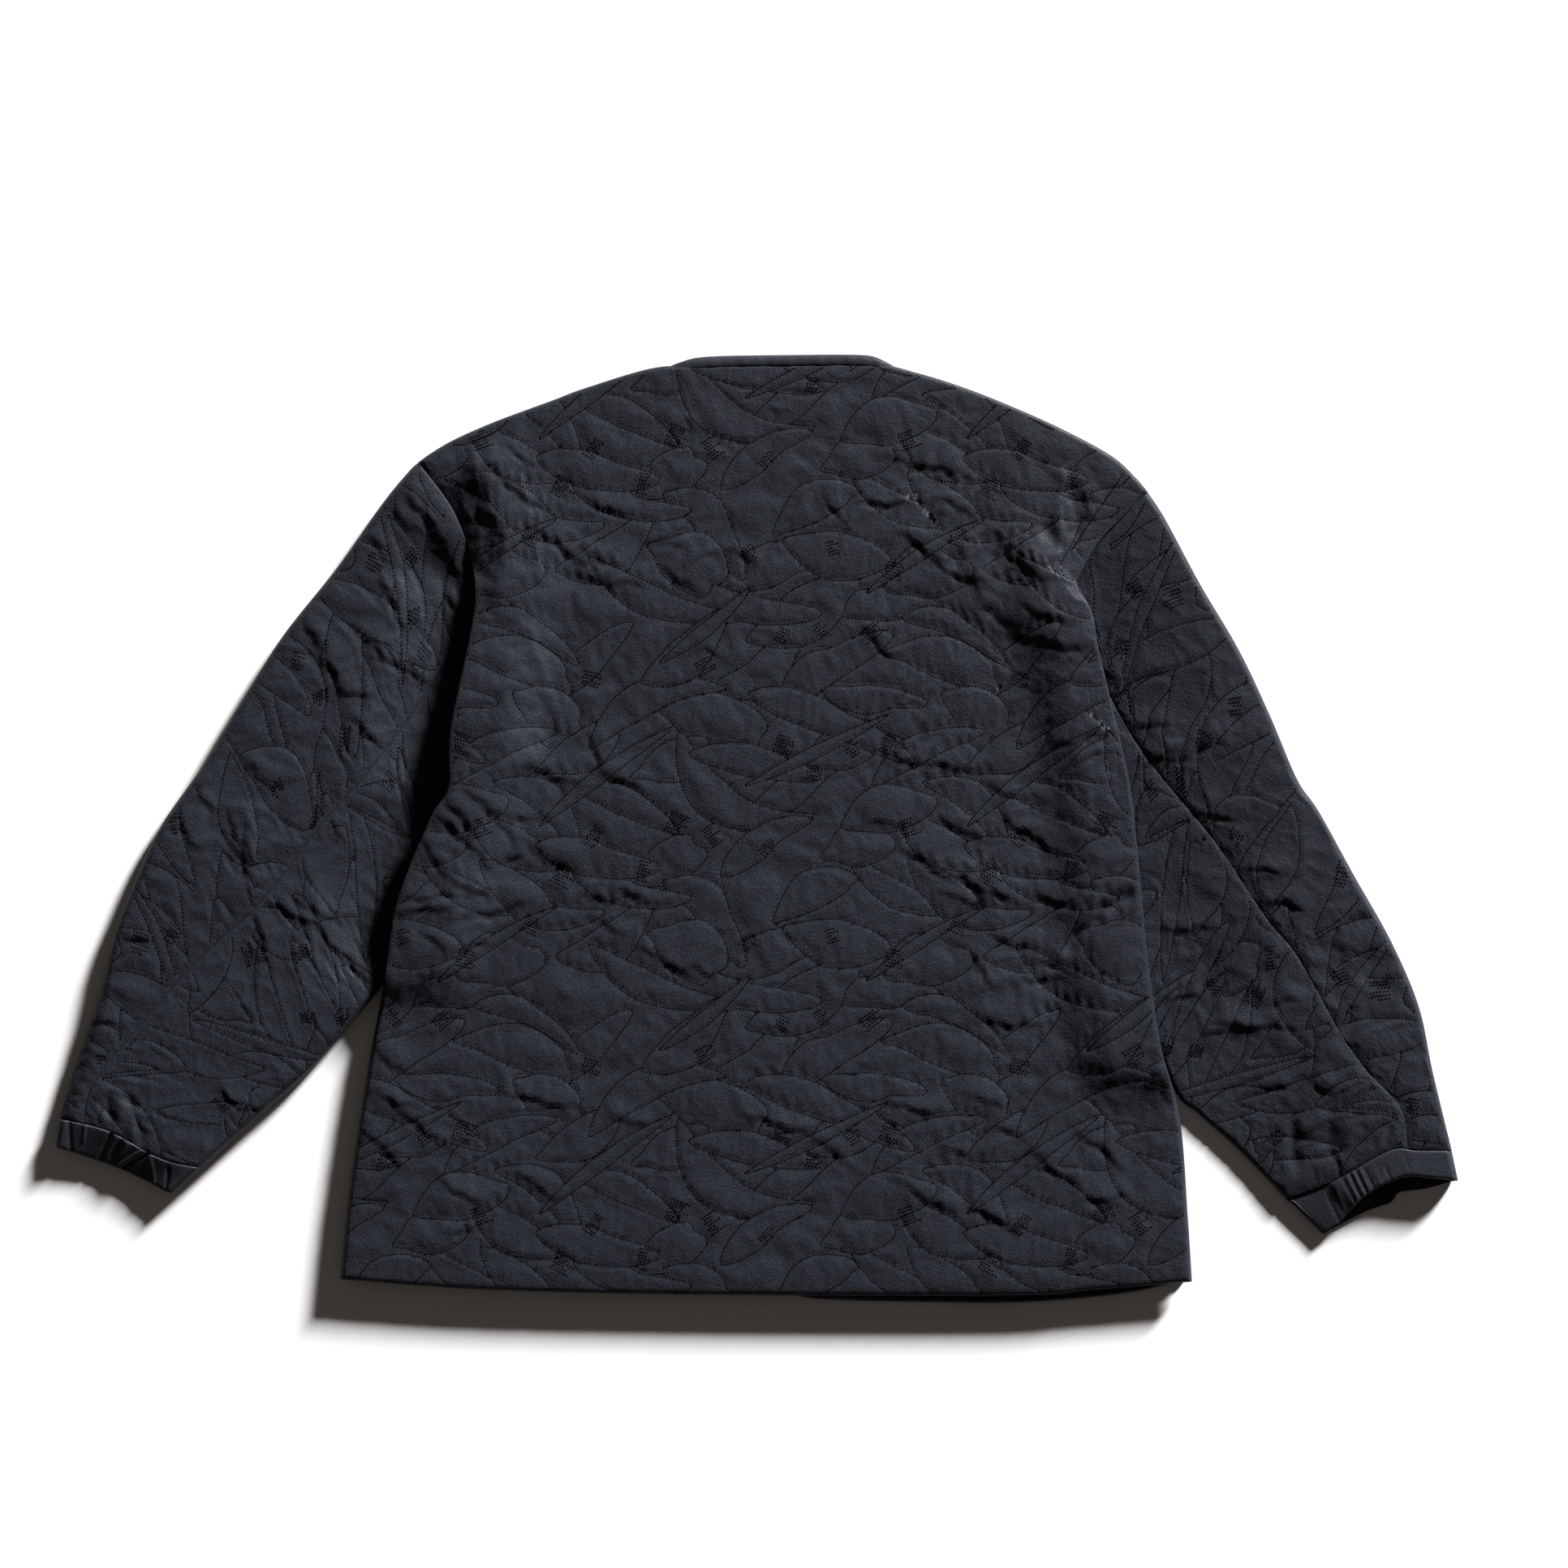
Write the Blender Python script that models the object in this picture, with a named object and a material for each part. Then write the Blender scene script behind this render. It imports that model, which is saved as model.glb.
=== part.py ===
"""Quilted collarless jacket lying flat on its front, back up.

Metres, +Z up.  +X is the jacket's side at the right of the view from above and
+Y points to the neck.  Every piece is a padded wall with a plain inside and a
quilted outer face, and all pieces rest on the surface z = 0.
"""
import math
from collections import namedtuple

import bpy
import numpy as np
from mathutils.kdtree import KDTree

for item in list(bpy.data.objects):
    bpy.data.objects.remove(item, do_unlink=True)

# ---------------------------------------------------------------- dimensions
MM = 0.001
WALL = 0.0055            # padded cloth, measured between the quilting lines
CASING_WALL = 0.0025     # the plain cloth of a cuff
LAYER_GAP = 0.0035       # air between the upper and the lower layer
PUFF = 0.0026            # how far the padding swells above its stitch lines
PUFF_REACH = 0.0080      # distance from a stitch line to most of that swell
SEAM_GAP = 0.0003        # clearance between two sewn pieces
SEAM_DIP = 0.0016        # a seam draws the outer face down by this much
SEAM_REACH = 0.0050
SLEEVE_HEIGHT = 2 * WALL + LAYER_GAP
TUCK = 0.0025            # the sleeve is pressed down this much under the back,
TUCK_BESIDE = 0.0055     # from this far outside the edge above it,
TUCK_ABOVE = 0.004       # and this far above the armhole seam's foot,
TUCK_FADE = 0.008        # fully so this much further in
SUNK = 0.0068            # the left sleeve lies this much flatter beside the back's edge,
SUNK_NEAR = 0.012        # fully up to this distance from the edge,
SUNK_REACH = 0.050       # and no more this much further off,
SUNK_Y = (-0.135, 0.235)     # between these two heights on the plan
SUNK_FADE = (0.06, 0.05)     # with these soft ends
LIFT = 0.0062            # rise of the back where it lies over a sleeve
LIFT_BAND = 0.038        # width of that raised stretch, from the fold edge
LIFT_FADE = 0.045
SIDE_ROUND = 0.013       # radius over which a closed side or shoulder turns down
RIM_FOOT = 0.0022        # lowest point of a turned-down edge above the layer beneath
OPEN_ROUND = 0.0035      # rounding of the hem and neck edges
OPEN_DROP = 0.45         # share of the wall that this rounding takes away
SIDE_STOP = 0.0045       # first row of points inside the back's sides,
HEM_STOP = 0.0035        # and inside its hem and top edge
TURN_SOON = 2.2          # the inner face of a closed side is down this much sooner
RIM_INSET = 0.0035       # inner face stops this far inside a turned-down side,
HEM_INSET = 0.0015       # inside the hem,
TOP_INSET = 0.0025       # inside the top edge,
SEAM_INSET = 0.0012      # inside a sleeve's back seam,
END_INSET = 0.0040       # and inside its armhole and cuff ends
FOLD_ROUND_UP = 0.011    # rounding of a sleeve's folded edge, upper layer
FOLD_ROUND_DOWN = 0.007  # and lower layer
END_FLARE = 0.016        # how much wider the left sleeve's outer edge rounds at the cuff,
FLARE_FROM = 0.78        # from this share of the sleeve's length on
FOLD_STOP = 0.0022       # points this far from the folded edge, above and below
WIDEST_HALF = 0.11       # a sleeve piece has points for at least this width
LOWER_STOPS = (0.10, 0.32, 0.55, 0.78, 1.0)  # shares of the width beneath
UNDER_OFFSET = 0.17      # where the inner halves are cut from the quilted cloth
STEP = 0.0128            # spacing of the outer points
FRONT_STEP_X, FRONT_STEP_Y = 0.075, 0.016    # spacing on the flat fronts
FRONT_INSET = 0.0030     # the fronts stop this far inside the back's outline,
FRONT_SHORT = 0.0010     # and this much further below its shoulders
LEAVING_BELOW, LEAVING_ABOVE = 0.012, 0.004  # where a front's edge passes from side to sleeve
TIP_IN = 0.0020          # a front's shoulder tip is this far inside its armhole
FRONT_CLEAR = 0.0026     # clearance between a front and a sleeve
CENTRE_X = 0.0270        # where the two fronts meet
BINDING_WIDTH = 0.0062
BINDING_TOP = 0.0150
BINDING_FOOT = 0.0086
BINDING_STEPS, BINDING_SIDES = 15, 10
BINDING_ENDS = 0.45      # its section at both ends, as a share of the middle's
CASING_CLEAR = 0.0005    # from the sleeve's end to its cuff
CASING_INSET = 0.0035    # the cuff's inner face starts this much further on
CASING_POINTS = 34       # points across one cuff's upper layer
CASING_STATIONS = (0.0, 0.30, 0.65, 1.0)     # shares of the way from seam to mouth
MOUTH_RISE = 0.0060      # how far the right cuff's mouth gapes,
MOUTH_FALL = 0.0066      # and how far the left one is pressed down
INNER_EASE = 0.0010      # a cuff's inner face rounds this much sooner
SAMPLES = 24             # curve samples between two outline points

# ------------------------------------------------------------------- outline
# All outline tables hold x, y in metres.
ARMHOLE_LEFT = ((-0.2533, 0.2736), (-0.2390, 0.2560), (-0.2262, 0.2370), (-0.2172, 0.2150),
                (-0.2118, 0.1940))
ARMHOLE_RIGHT = ((0.2942, 0.2512), (0.2735, 0.2312), (0.2549, 0.2109), (0.2392, 0.1824))
HIDDEN_ARMHOLE_LEFT = ((-0.2118, 0.1940), (-0.2100, 0.1800), (-0.2070, 0.1650), (-0.2060, 0.1090),
                       (-0.2070, 0.0500), (-0.2090, -0.0060))
HIDDEN_ARMHOLE_RIGHT = ((0.2392, 0.1824), (0.2422, 0.1700), (0.2440, 0.1500), (0.2460, 0.0900),
                        (0.2470, 0.0400), (0.2480, -0.0060))
SIDE_LEFT = ((-0.3114, -0.3384), (-0.3041, -0.2674), (-0.2889, -0.1703), (-0.2768, -0.1096),
             (-0.2677, -0.0549), (-0.2434, 0.0058), (-0.2294, 0.0300), (-0.2276, 0.0725),
             (-0.2131, 0.1454), (-0.2096, 0.1740), (-0.2118, 0.1940))
SIDE_RIGHT = ((0.3272, -0.3402), (0.3241, -0.2916), (0.3181, -0.2188), (0.3029, -0.1642),
              (0.2926, -0.0974), (0.2859, -0.0246), (0.2786, 0.0361), (0.2634, 0.1029),
              (0.2556, 0.1363), (0.2513, 0.1606), (0.2392, 0.1824))
HEM = ((-0.3114, -0.3384), (-0.2009, -0.3463), (-0.0370, -0.3500), (0.1936, -0.3505),
       (0.2543, -0.3463), (0.3272, -0.3402))
SHOULDERS = ((-0.2533, 0.2736), (-0.2434, 0.2808), (-0.2252, 0.2913), (-0.1948, 0.3046),
             (-0.1531, 0.3200), (-0.1281, 0.3294), (-0.0795, 0.3440), (-0.0480, 0.3462),
             (0.0200, 0.3472), (0.0880, 0.3474), (0.1208, 0.3409), (0.1572, 0.3294),
             (0.1936, 0.3150), (0.2301, 0.2985), (0.2665, 0.2788), (0.2847, 0.2624),
             (0.2942, 0.2512))
NECK_EDGE = ((-0.0620, 0.3470), (-0.0310, 0.3500), (0.0250, 0.3508), (0.0783, 0.3510),
             (0.1030, 0.3470))
NECKLINE_FRONT_LEFT = ((CENTRE_X, 0.2500), (0.0160, 0.2740), (-0.0160, 0.3050), (-0.0500, 0.3370))
NECKLINE_FRONT_RIGHT = ((CENTRE_X, 0.2500), (0.0400, 0.2740), (0.0700, 0.3050), (0.0960, 0.3370))
HEM_FRONT_LEFT = ((-0.3080, -0.3364), (-0.2009, -0.3440), (-0.0370, -0.3480), (CENTRE_X, -0.3490))
HEM_FRONT_RIGHT = ((CENTRE_X, -0.3510), (0.0500, -0.3545), (0.1200, -0.3565), (0.2000, -0.3565),
                   (0.2786, -0.3490), (0.3240, -0.3380))

OUTER_LEFT = ((-0.2533, 0.2736), (-0.2600, 0.2674), (-0.2800, 0.2431), (-0.3145, 0.1943),
              (-0.3532, 0.1457), (-0.3842, 0.0970), (-0.4135, 0.0483), (-0.4469, -0.0004),
              (-0.4683, -0.0472), (-0.4810, -0.0795), (-0.4895, -0.1160), (-0.4999, -0.1477),
              (-0.5109, -0.1800), (-0.5226, -0.2180))
BACK_SEAM_LEFT = ((-0.2064, 0.1500), (-0.2252, 0.1333), (-0.2804, 0.0537), (-0.3266, 0.0000),
                  (-0.3715, -0.0574), (-0.4188, -0.1011), (-0.4619, -0.1496), (-0.4960, -0.1920),
                  (-0.5030, -0.2222))
INNER_LEFT = ((-0.2090, -0.0060), (-0.2260, -0.0350), (-0.2738, -0.1096), (-0.3000, -0.1430),
              (-0.3345, -0.1824), (-0.3648, -0.2097), (-0.3950, -0.2370), (-0.4150, -0.2550))
CASING_LEFT = ((-0.5226, -0.2180), (-0.4850, -0.2270), (-0.4450, -0.2480), (-0.4150, -0.2550))
MOUTH_LEFT = ((-0.5250, -0.2395), (-0.4990, -0.2480), (-0.4704, -0.2589), (-0.4376, -0.2753))

OUTER_RIGHT = ((0.2942, 0.2512), (0.3073, 0.2310), (0.3335, 0.1822), (0.3622, 0.1335),
               (0.3853, 0.0849), (0.4061, 0.0361), (0.4225, 0.0117), (0.4493, -0.0369),
               (0.4767, -0.0857), (0.4973, -0.1343), (0.5077, -0.1831), (0.5220, -0.2419))
BACK_SEAM_RIGHT = ((0.2440, 0.1500), (0.2580, 0.1150), (0.2634, 0.1029), (0.2816, 0.0695),
                   (0.3029, 0.0392), (0.3454, -0.0124), (0.3818, -0.0670), (0.4061, -0.0974),
                   (0.4395, -0.1569), (0.4589, -0.1836), (0.4832, -0.2109), (0.4880, -0.2419))
INNER_RIGHT = ((0.2480, -0.0060), (0.2620, -0.0380), (0.2870, -0.1150), (0.3132, -0.1945),
               (0.3333, -0.2158), (0.3636, -0.2430), (0.3979, -0.2789))
CASING_RIGHT = ((0.5220, -0.2419), (0.4953, -0.2419), (0.4747, -0.2419), (0.4328, -0.2656),
                (0.3979, -0.2789))
MOUTH_RIGHT_UPPER = ((0.5268, -0.2650), (0.5044, -0.2625), (0.4838, -0.2625), (0.4577, -0.2753),
                     (0.4383, -0.2960), (0.4261, -0.3056))
MOUTH_RIGHT_LOWER = ((0.5268, -0.2650), (0.5026, -0.2716), (0.4838, -0.2743), (0.4765, -0.2820),
                     (0.4577, -0.2890), (0.4261, -0.3056))

# How high the back's side edges lie: lift 0 closes down on the front, 1 lies on a sleeve.
Seat = namedtuple("Seat", "y lift closed")
SEATS_LEFT = (Seat(-0.345, 0, 1), Seat(-0.142, 0, 1), Seat(-0.108, 1, 0), Seat(0.168, 1, 0),
              Seat(0.196, 0, 0), Seat(0.262, 0, 0), Seat(0.273, 0, 1))
SEATS_RIGHT = (Seat(-0.345, 0, 1), Seat(-0.214, 0, 1), Seat(-0.180, 1, 0), Seat(0.184, 1, 0),
               Seat(0.206, 0, 0), Seat(0.240, 0, 0), Seat(0.250, 0, 1))
# How far the top edge is closed: shoulders are sewn down, the neck is open.
Closing = namedtuple("Closing", "x closed")
TOP_CLOSING = (Closing(-0.254, 1), Closing(-0.060, 1), Closing(-0.040, 0), Closing(0.085, 0),
               Closing(0.105, 1), Closing(0.293, 1))

# The largest folds, from end to end, in millimetres: rise is positive for a ridge.
Fold = namedtuple("Fold", "x0 y0 x1 y1 width rise")
BACK_FOLDS = (
    # left shoulder
    Fold(-211, 279, -184, 213, 14, 5.5), Fold(-184, 213, -194, 167, 12, 3.5),
    Fold(-222, 255, -207, 173, 9, -3.5), Fold(-168, 233, -124, 198, 9, 1.7),
    # right shoulder
    Fold(105, 228, 144, 200, 9, 1.7), Fold(150, 217, 178, 179, 13, 2.1),
    Fold(186, 213, 223, 187, 9, 1.6), Fold(167, 181, 203, 153, 13, 2.1),
    Fold(191, 149, 254, 136, 13, 2.2),
    # middle and right waist
    Fold(112, -14, 152, -40, 9, 1.7), Fold(154, -28, 175, -56, 10, 2.0),
    Fold(171, -46, 195, -53, 9, 1.9), Fold(206, -97, 239, -105, 11, 2.0),
    Fold(232, -93, 280, -48, 8, -2.3),
    # left waist
    Fold(-237, 29, -206, -6, 10, 2.0), Fold(-216, 31, -177, -14, 9, 1.7),
    Fold(-230, -32, -194, -48, 10, 1.9), Fold(-228, -65, -167, -51, 9, 1.7),
    Fold(-168, -10, -133, -28, 12, 2.1),
    # towards the hem
    Fold(206, -237, 242, -265, 10, 1.6), Fold(161, -280, 197, -300, 9, 1.7))
SLEEVE_FOLDS = (
    # left upper arm and elbow
    Fold(-262, 255, -230, 211, 9, 2.6), Fold(-230, 211, -214, 165, 9, 2.6),
    Fold(-279, 190, -262, 150, 8, 1.9), Fold(-280, 133, -242, 110, 8, 1.9),
    Fold(-336, 158, -321, 126, 8, 2.0), Fold(-321, 127, -308, 104, 8, 2.0),
    Fold(-384, 18, -375, -25, 8, 1.9), Fold(-347, -46, -304, -68, 12, 1.7),
    Fold(-325, -76, -277, -118, 10, 2.1),
    # right upper arm, elbow and forearm
    Fold(303, 51, 353, 73, 10, 1.6), Fold(333, 12, 364, 9, 9, 1.5),
    Fold(418, -113, 439, -91, 8, -1.6), Fold(430, -129, 461, -94, 9, -1.9),
    Fold(345, -144, 401, -147, 8, 1.6), Fold(416, -188, 432, -197, 8, 1.5),
    Fold(430, -222, 434, -249, 8, -1.6))
# Pleats of a cuff: t is the place across its upper layer.
Pleat = namedtuple("Pleat", "t rise")
PLEAT_WIDTH = 0.035
PLEATS_LEFT = (Pleat(0.36, -0.0016), Pleat(0.49, 0.0018), Pleat(0.60, -0.0018), Pleat(0.74, 0.0012))
PLEATS_RIGHT = (Pleat(0.55, -0.0012), Pleat(0.61, 0.0012), Pleat(0.69, -0.0014), Pleat(0.78, 0.0012))

# ------------------------------------------------------------------ quilting
# The stitch lines are the outlines of leaves and long ribbons, laid over one another on a
# repeat of the cloth.  A covered stretch of an outline isn't sewn.
REPEAT = np.array([0.320, 0.290])
LEAF_COLUMNS, LEAF_ROWS, RIBBONS = 5, 8, 4
LEAF_LONG, LEAF_WIDE = (0.070, 0.115), (0.021, 0.038)
RIBBON_LONG, RIBBON_WIDE = (0.085, 0.125), (0.0085, 0.0115)
RISING_DEG, FALLING_DEG = (14, 40), (-42, -8)
RISING_SHARE = 0.35
POINTED = 1.45           # 1 is a diamond, 2 an ellipse
OUTLINE_STEP = 0.0005
SHORTEST_RUN = 8         # points of an outline that are still sewn
Leaf = namedtuple("Leaf", "x y long wide turn bend lobe phase")


def scattered_leaves():
    """The repeat's leaves and ribbons, the lowest first: each row falls or rises on its own way."""
    chance = np.random.default_rng(8)
    leaves = []
    for row in range(LEAF_ROWS):
        for column in range(LEAF_COLUMNS):
            x = (column + 0.5 * (row % 2) + 0.5 + chance.uniform(-0.28, 0.28)) * REPEAT[0] / LEAF_COLUMNS
            y = (row + 0.5 + chance.uniform(-0.28, 0.28)) * REPEAT[1] / LEAF_ROWS
            turn = chance.uniform(*(RISING_DEG if chance.random() < RISING_SHARE else FALLING_DEG))
            leaves.append(Leaf(x, y, chance.uniform(*LEAF_LONG), chance.uniform(*LEAF_WIDE),
                               math.radians(turn), chance.uniform(-9, 9), chance.uniform(0.05, 0.3),
                               chance.uniform(0, 6.28)))
    leaves = [leaves[k] for k in chance.permutation(len(leaves))]
    for k in range(RIBBONS):
        x, y = (k + 0.5) / RIBBONS * REPEAT[0], (2 * k % RIBBONS + chance.random()) / RIBBONS * REPEAT[1]
        leaves.append(Leaf(x, y, chance.uniform(*RIBBON_LONG), chance.uniform(*RIBBON_WIDE),
                           math.radians(chance.uniform(*RISING_DEG)), chance.uniform(-1.5, 1.5), 0, 0))
    return leaves


def leaf_radius(angle, leaf):
    round_one = (np.abs(np.cos(angle)) ** POINTED + np.abs(np.sin(angle)) ** POINTED) ** (-1 / POINTED)
    return round_one * (1 + leaf.lobe * (np.sin(2 * angle + leaf.phase) + 0.6 * np.sin(3 * angle + leaf.phase))
                        + 0.12 * np.cos(angle))


def leaf_outline(leaf):
    angle = np.linspace(0, 2 * np.pi, int(2.2 * leaf.long / OUTLINE_STEP))
    radius = leaf_radius(angle, leaf)
    along = radius * np.cos(angle) * leaf.long / 2
    aside = radius * np.sin(angle) * leaf.wide / 2 + leaf.bend * along**2
    c, s = math.cos(leaf.turn), math.sin(leaf.turn)
    return np.stack([leaf.x + c * along - s * aside, leaf.y + s * along + c * aside], -1)


def inside_leaf(points, leaf):
    away = (points - (leaf.x, leaf.y) + REPEAT / 2) % REPEAT - REPEAT / 2
    c, s = math.cos(leaf.turn), math.sin(leaf.turn)
    along = c * away[:, 0] + s * away[:, 1]
    aside = (c * away[:, 1] - s * away[:, 0] - leaf.bend * along**2) / (leaf.wide / 2)
    along = along / (leaf.long / 2)
    return np.hypot(along, aside) < leaf_radius(np.arctan2(aside, along), leaf)


def sewn_lines(leaves):
    """The stretches of the leaves' outlines that no later leaf covers."""
    lines = []
    for k, leaf in enumerate(leaves):
        outline = leaf_outline(leaf)
        seen = np.ones(len(outline), bool)
        for later in leaves[k + 1:]:
            seen &= ~inside_leaf(outline, later)
        ends = np.flatnonzero(np.diff(seen.astype(int))) + 1
        for start, end in zip([0, *ends], [*ends, len(outline)]):
            if seen[start] and end - start > SHORTEST_RUN:
                lines.append(outline[start:end])
    return lines


def line_search():
    """A search tree of the stitch lines' points, with a margin of the repeat all round."""
    points = np.vstack(sewn_lines(scattered_leaves()))
    points = np.vstack([points + REPEAT * (column, row) for column in (-1, 0, 1) for row in (-1, 0, 1)])
    points = points[((points > -0.1 * REPEAT) & (points < 1.1 * REPEAT)).all(1)]
    tree = KDTree(len(points))
    for number, (x, y) in enumerate(points.tolist()):
        tree.insert((x, y, 0), number)
    tree.balance()
    return tree


STITCH_LINES = line_search()


def puff(across, along):
    """Swell of the padding above its stitch lines, by the distance to the nearest one."""
    wrapped = np.stack([across.ravel(), along.ravel()], -1) % REPEAT
    away = np.array([STITCH_LINES.find((x, y, 0))[2] for x, y in wrapped.tolist()]).reshape(across.shape)
    return PUFF * (1 - np.exp(-away / PUFF_REACH))


# ------------------------------------------------------------ curves, patches
def smooth_line(points):
    """Points along a smooth curve through the given outline points."""
    p = np.array(points, float)
    t = np.linspace(0, 1, SAMPLES, endpoint=False)[:, None]
    runs = []
    for i in range(len(p) - 1):
        a, b, c, d = p[max(i - 1, 0)], p[i], p[i + 1], p[min(i + 2, len(p) - 1)]
        runs.append(0.5 * (2 * b + (c - a) * t + (2 * a - 5 * b + 4 * c - d) * t**2
                           + (3 * b - a - 3 * c + d) * t**3))
    return np.vstack(runs + [p[-1:]])


def joined(*lines):
    """One line from several, each starting where the last one ended."""
    return np.vstack([line if i == 0 else line[1:] for i, line in enumerate(lines)])


def shares(line):
    steps = np.hypot(*np.diff(line, axis=0).T)
    total = np.concatenate([[0], np.cumsum(steps)])
    return total / total[-1], total[-1]


def read(line, t):
    share, _ = shares(line)
    return np.stack([np.interp(t, share, line[:, 0]), np.interp(t, share, line[:, 1])], -1)


def stretch(line, start, end):
    return read(line, np.linspace(start, end, 160))


def share_near(line, point):
    share, _ = shares(line)
    return share[np.argmin(np.hypot(*(line - np.array(point)).T))]


def moved_in(line, distance):
    """The line moved to its right-hand side."""
    way = np.gradient(line, axis=0)
    way /= np.maximum(np.hypot(way[:, 0], way[:, 1]), 1e-9)[:, None]
    return line + distance * np.stack([way[:, 1], -way[:, 0]], -1)


def patch(left, right, bottom, top, u, v):
    """Points of the surface patch spanned by four outline curves."""
    corner = [bottom[0], bottom[-1], top[0], top[-1]]
    a, b = u[..., None], v[..., None]
    return ((1 - a) * read(left, v) + a * read(right, v) + (1 - b) * read(bottom, u) + b * read(top, u)
            - (1 - a) * (1 - b) * corner[0] - a * (1 - b) * corner[1]
            - (1 - a) * b * corner[2] - a * b * corner[3])


def ease(x):
    x = np.clip(x, 0, 1)
    return x * x * (3 - 2 * x)


def bulge(distance, radius):
    """0 at an edge, 1 from the radius inwards, round in between."""
    return np.sqrt(1 - (1 - np.clip(distance / radius, 0, 1)) ** 2)


def fold_rise(x, y, folds):
    """Height of the folds: each is a soft bar that tapers at both ends."""
    rise = np.zeros_like(x)
    for fold in folds:
        x0, y0, width = fold.x0 * MM, fold.y0 * MM, fold.width * MM
        run = math.hypot(fold.x1 - fold.x0, fold.y1 - fold.y0) * MM
        dx, dy = (fold.x1 * MM - x0) / run, (fold.y1 * MM - y0) / run
        along = (x - x0) * dx + (y - y0) * dy
        across = (y - y0) * dx - (x - x0) * dy
        taper = ease((along + width) / (2 * width)) * ease((run + width - along) / (2 * width))
        rise += fold.rise * MM * taper * np.exp(-(across / width) ** 2)
    return rise


def even_stops(length, step, edge_stops=()):
    """Shares of a length: stops near both ends, then even steps of about the given size."""
    near = [0.0] + [stop / length for stop in edge_stops]
    count = max(2, round((1 - 2 * near[-1]) * length / step))
    middle = list(np.linspace(near[-1], 1 - near[-1], count + 1))
    return np.array(near[:-1] + middle + [1 - stop for stop in reversed(near[:-1])])


# ------------------------------------------------------------------- meshes
def material(name, colour, roughness):
    made = bpy.data.materials.new(name)
    made.use_nodes = True
    shader = made.node_tree.nodes["Principled BSDF"]
    shader.inputs["Base Color"].default_value = (*colour, 1)
    shader.inputs["Roughness"].default_value = roughness
    shader.inputs["Metallic"].default_value = 0
    return made


def add_object(name, points, faces, look):
    mesh = bpy.data.meshes.new(name)
    mesh.from_pydata([tuple(p) for p in points], [], faces)
    mesh.materials.append(look)
    made = bpy.data.objects.new(name, mesh)
    bpy.context.collection.objects.link(made)
    bpy.context.view_layer.objects.active = made
    made.select_set(True)
    bpy.ops.object.mode_set(mode="EDIT")
    bpy.ops.mesh.select_all(action="SELECT")
    bpy.ops.mesh.normals_make_consistent(inside=False)
    bpy.ops.object.mode_set(mode="OBJECT")
    made.select_set(False)


def rim_faces(outer, inner, picks):
    """Triangles between a run of outer points and its coarser run of inner points."""
    faces = []
    for k in range(len(picks) - 1):
        start, end = picks[k], picks[k + 1]
        middle = (start + end) // 2
        faces += [(outer[i], outer[i + 1], inner[k]) for i in range(start, middle)]
        faces += [(outer[i], outer[i + 1], inner[k + 1]) for i in range(middle, end)]
        faces.append((outer[middle], inner[k + 1], inner[k]))
    return faces


def grid_faces(ids):
    return [(ids[r, c], ids[r, c + 1], ids[r + 1, c + 1], ids[r + 1, c])
            for r in range(ids.shape[0] - 1) for c in range(ids.shape[1] - 1)]


def walled_sheet(name, outer, inner, rows, cols, look):
    """A closed wall: the inner grid has a point for each picked row and column of the outer one."""
    outer_ids = np.arange(outer.shape[0] * outer.shape[1]).reshape(outer.shape[:2])
    inner_ids = np.arange(len(rows) * len(cols)).reshape(len(rows), len(cols)) + outer_ids.size
    faces = grid_faces(outer_ids) + grid_faces(inner_ids)
    faces += rim_faces(outer_ids[0], inner_ids[0], cols) + rim_faces(outer_ids[-1], inner_ids[-1], cols)
    faces += rim_faces(outer_ids[:, 0], inner_ids[:, 0], rows)
    faces += rim_faces(outer_ids[:, -1], inner_ids[:, -1], rows)
    faces = [tuple(int(i) for i in face) for face in faces]
    add_object(name, np.vstack([outer.reshape(-1, 3), inner.reshape(-1, 3)]), faces, look)


def picked(count, stride):
    """Indices 0, stride, 2 strides ... count - 1."""
    picks = list(range(0, count - 1, stride))
    if count - 1 - picks[-1] < stride / 2 and len(picks) > 1:
        picks.pop()
    return picks + [count - 1]


# --------------------------------------------------------------------- back
def seat_along(seats, y):
    ys = [seat.y for seat in seats]
    return (np.interp(y, ys, [seat.lift for seat in seats]),
            np.interp(y, ys, [seat.closed for seat in seats]))


BACK_LEFT_EDGE = joined(smooth_line(SIDE_LEFT), smooth_line(ARMHOLE_LEFT)[::-1])
BACK_RIGHT_EDGE = joined(smooth_line(SIDE_RIGHT), smooth_line(ARMHOLE_RIGHT)[::-1])


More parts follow.
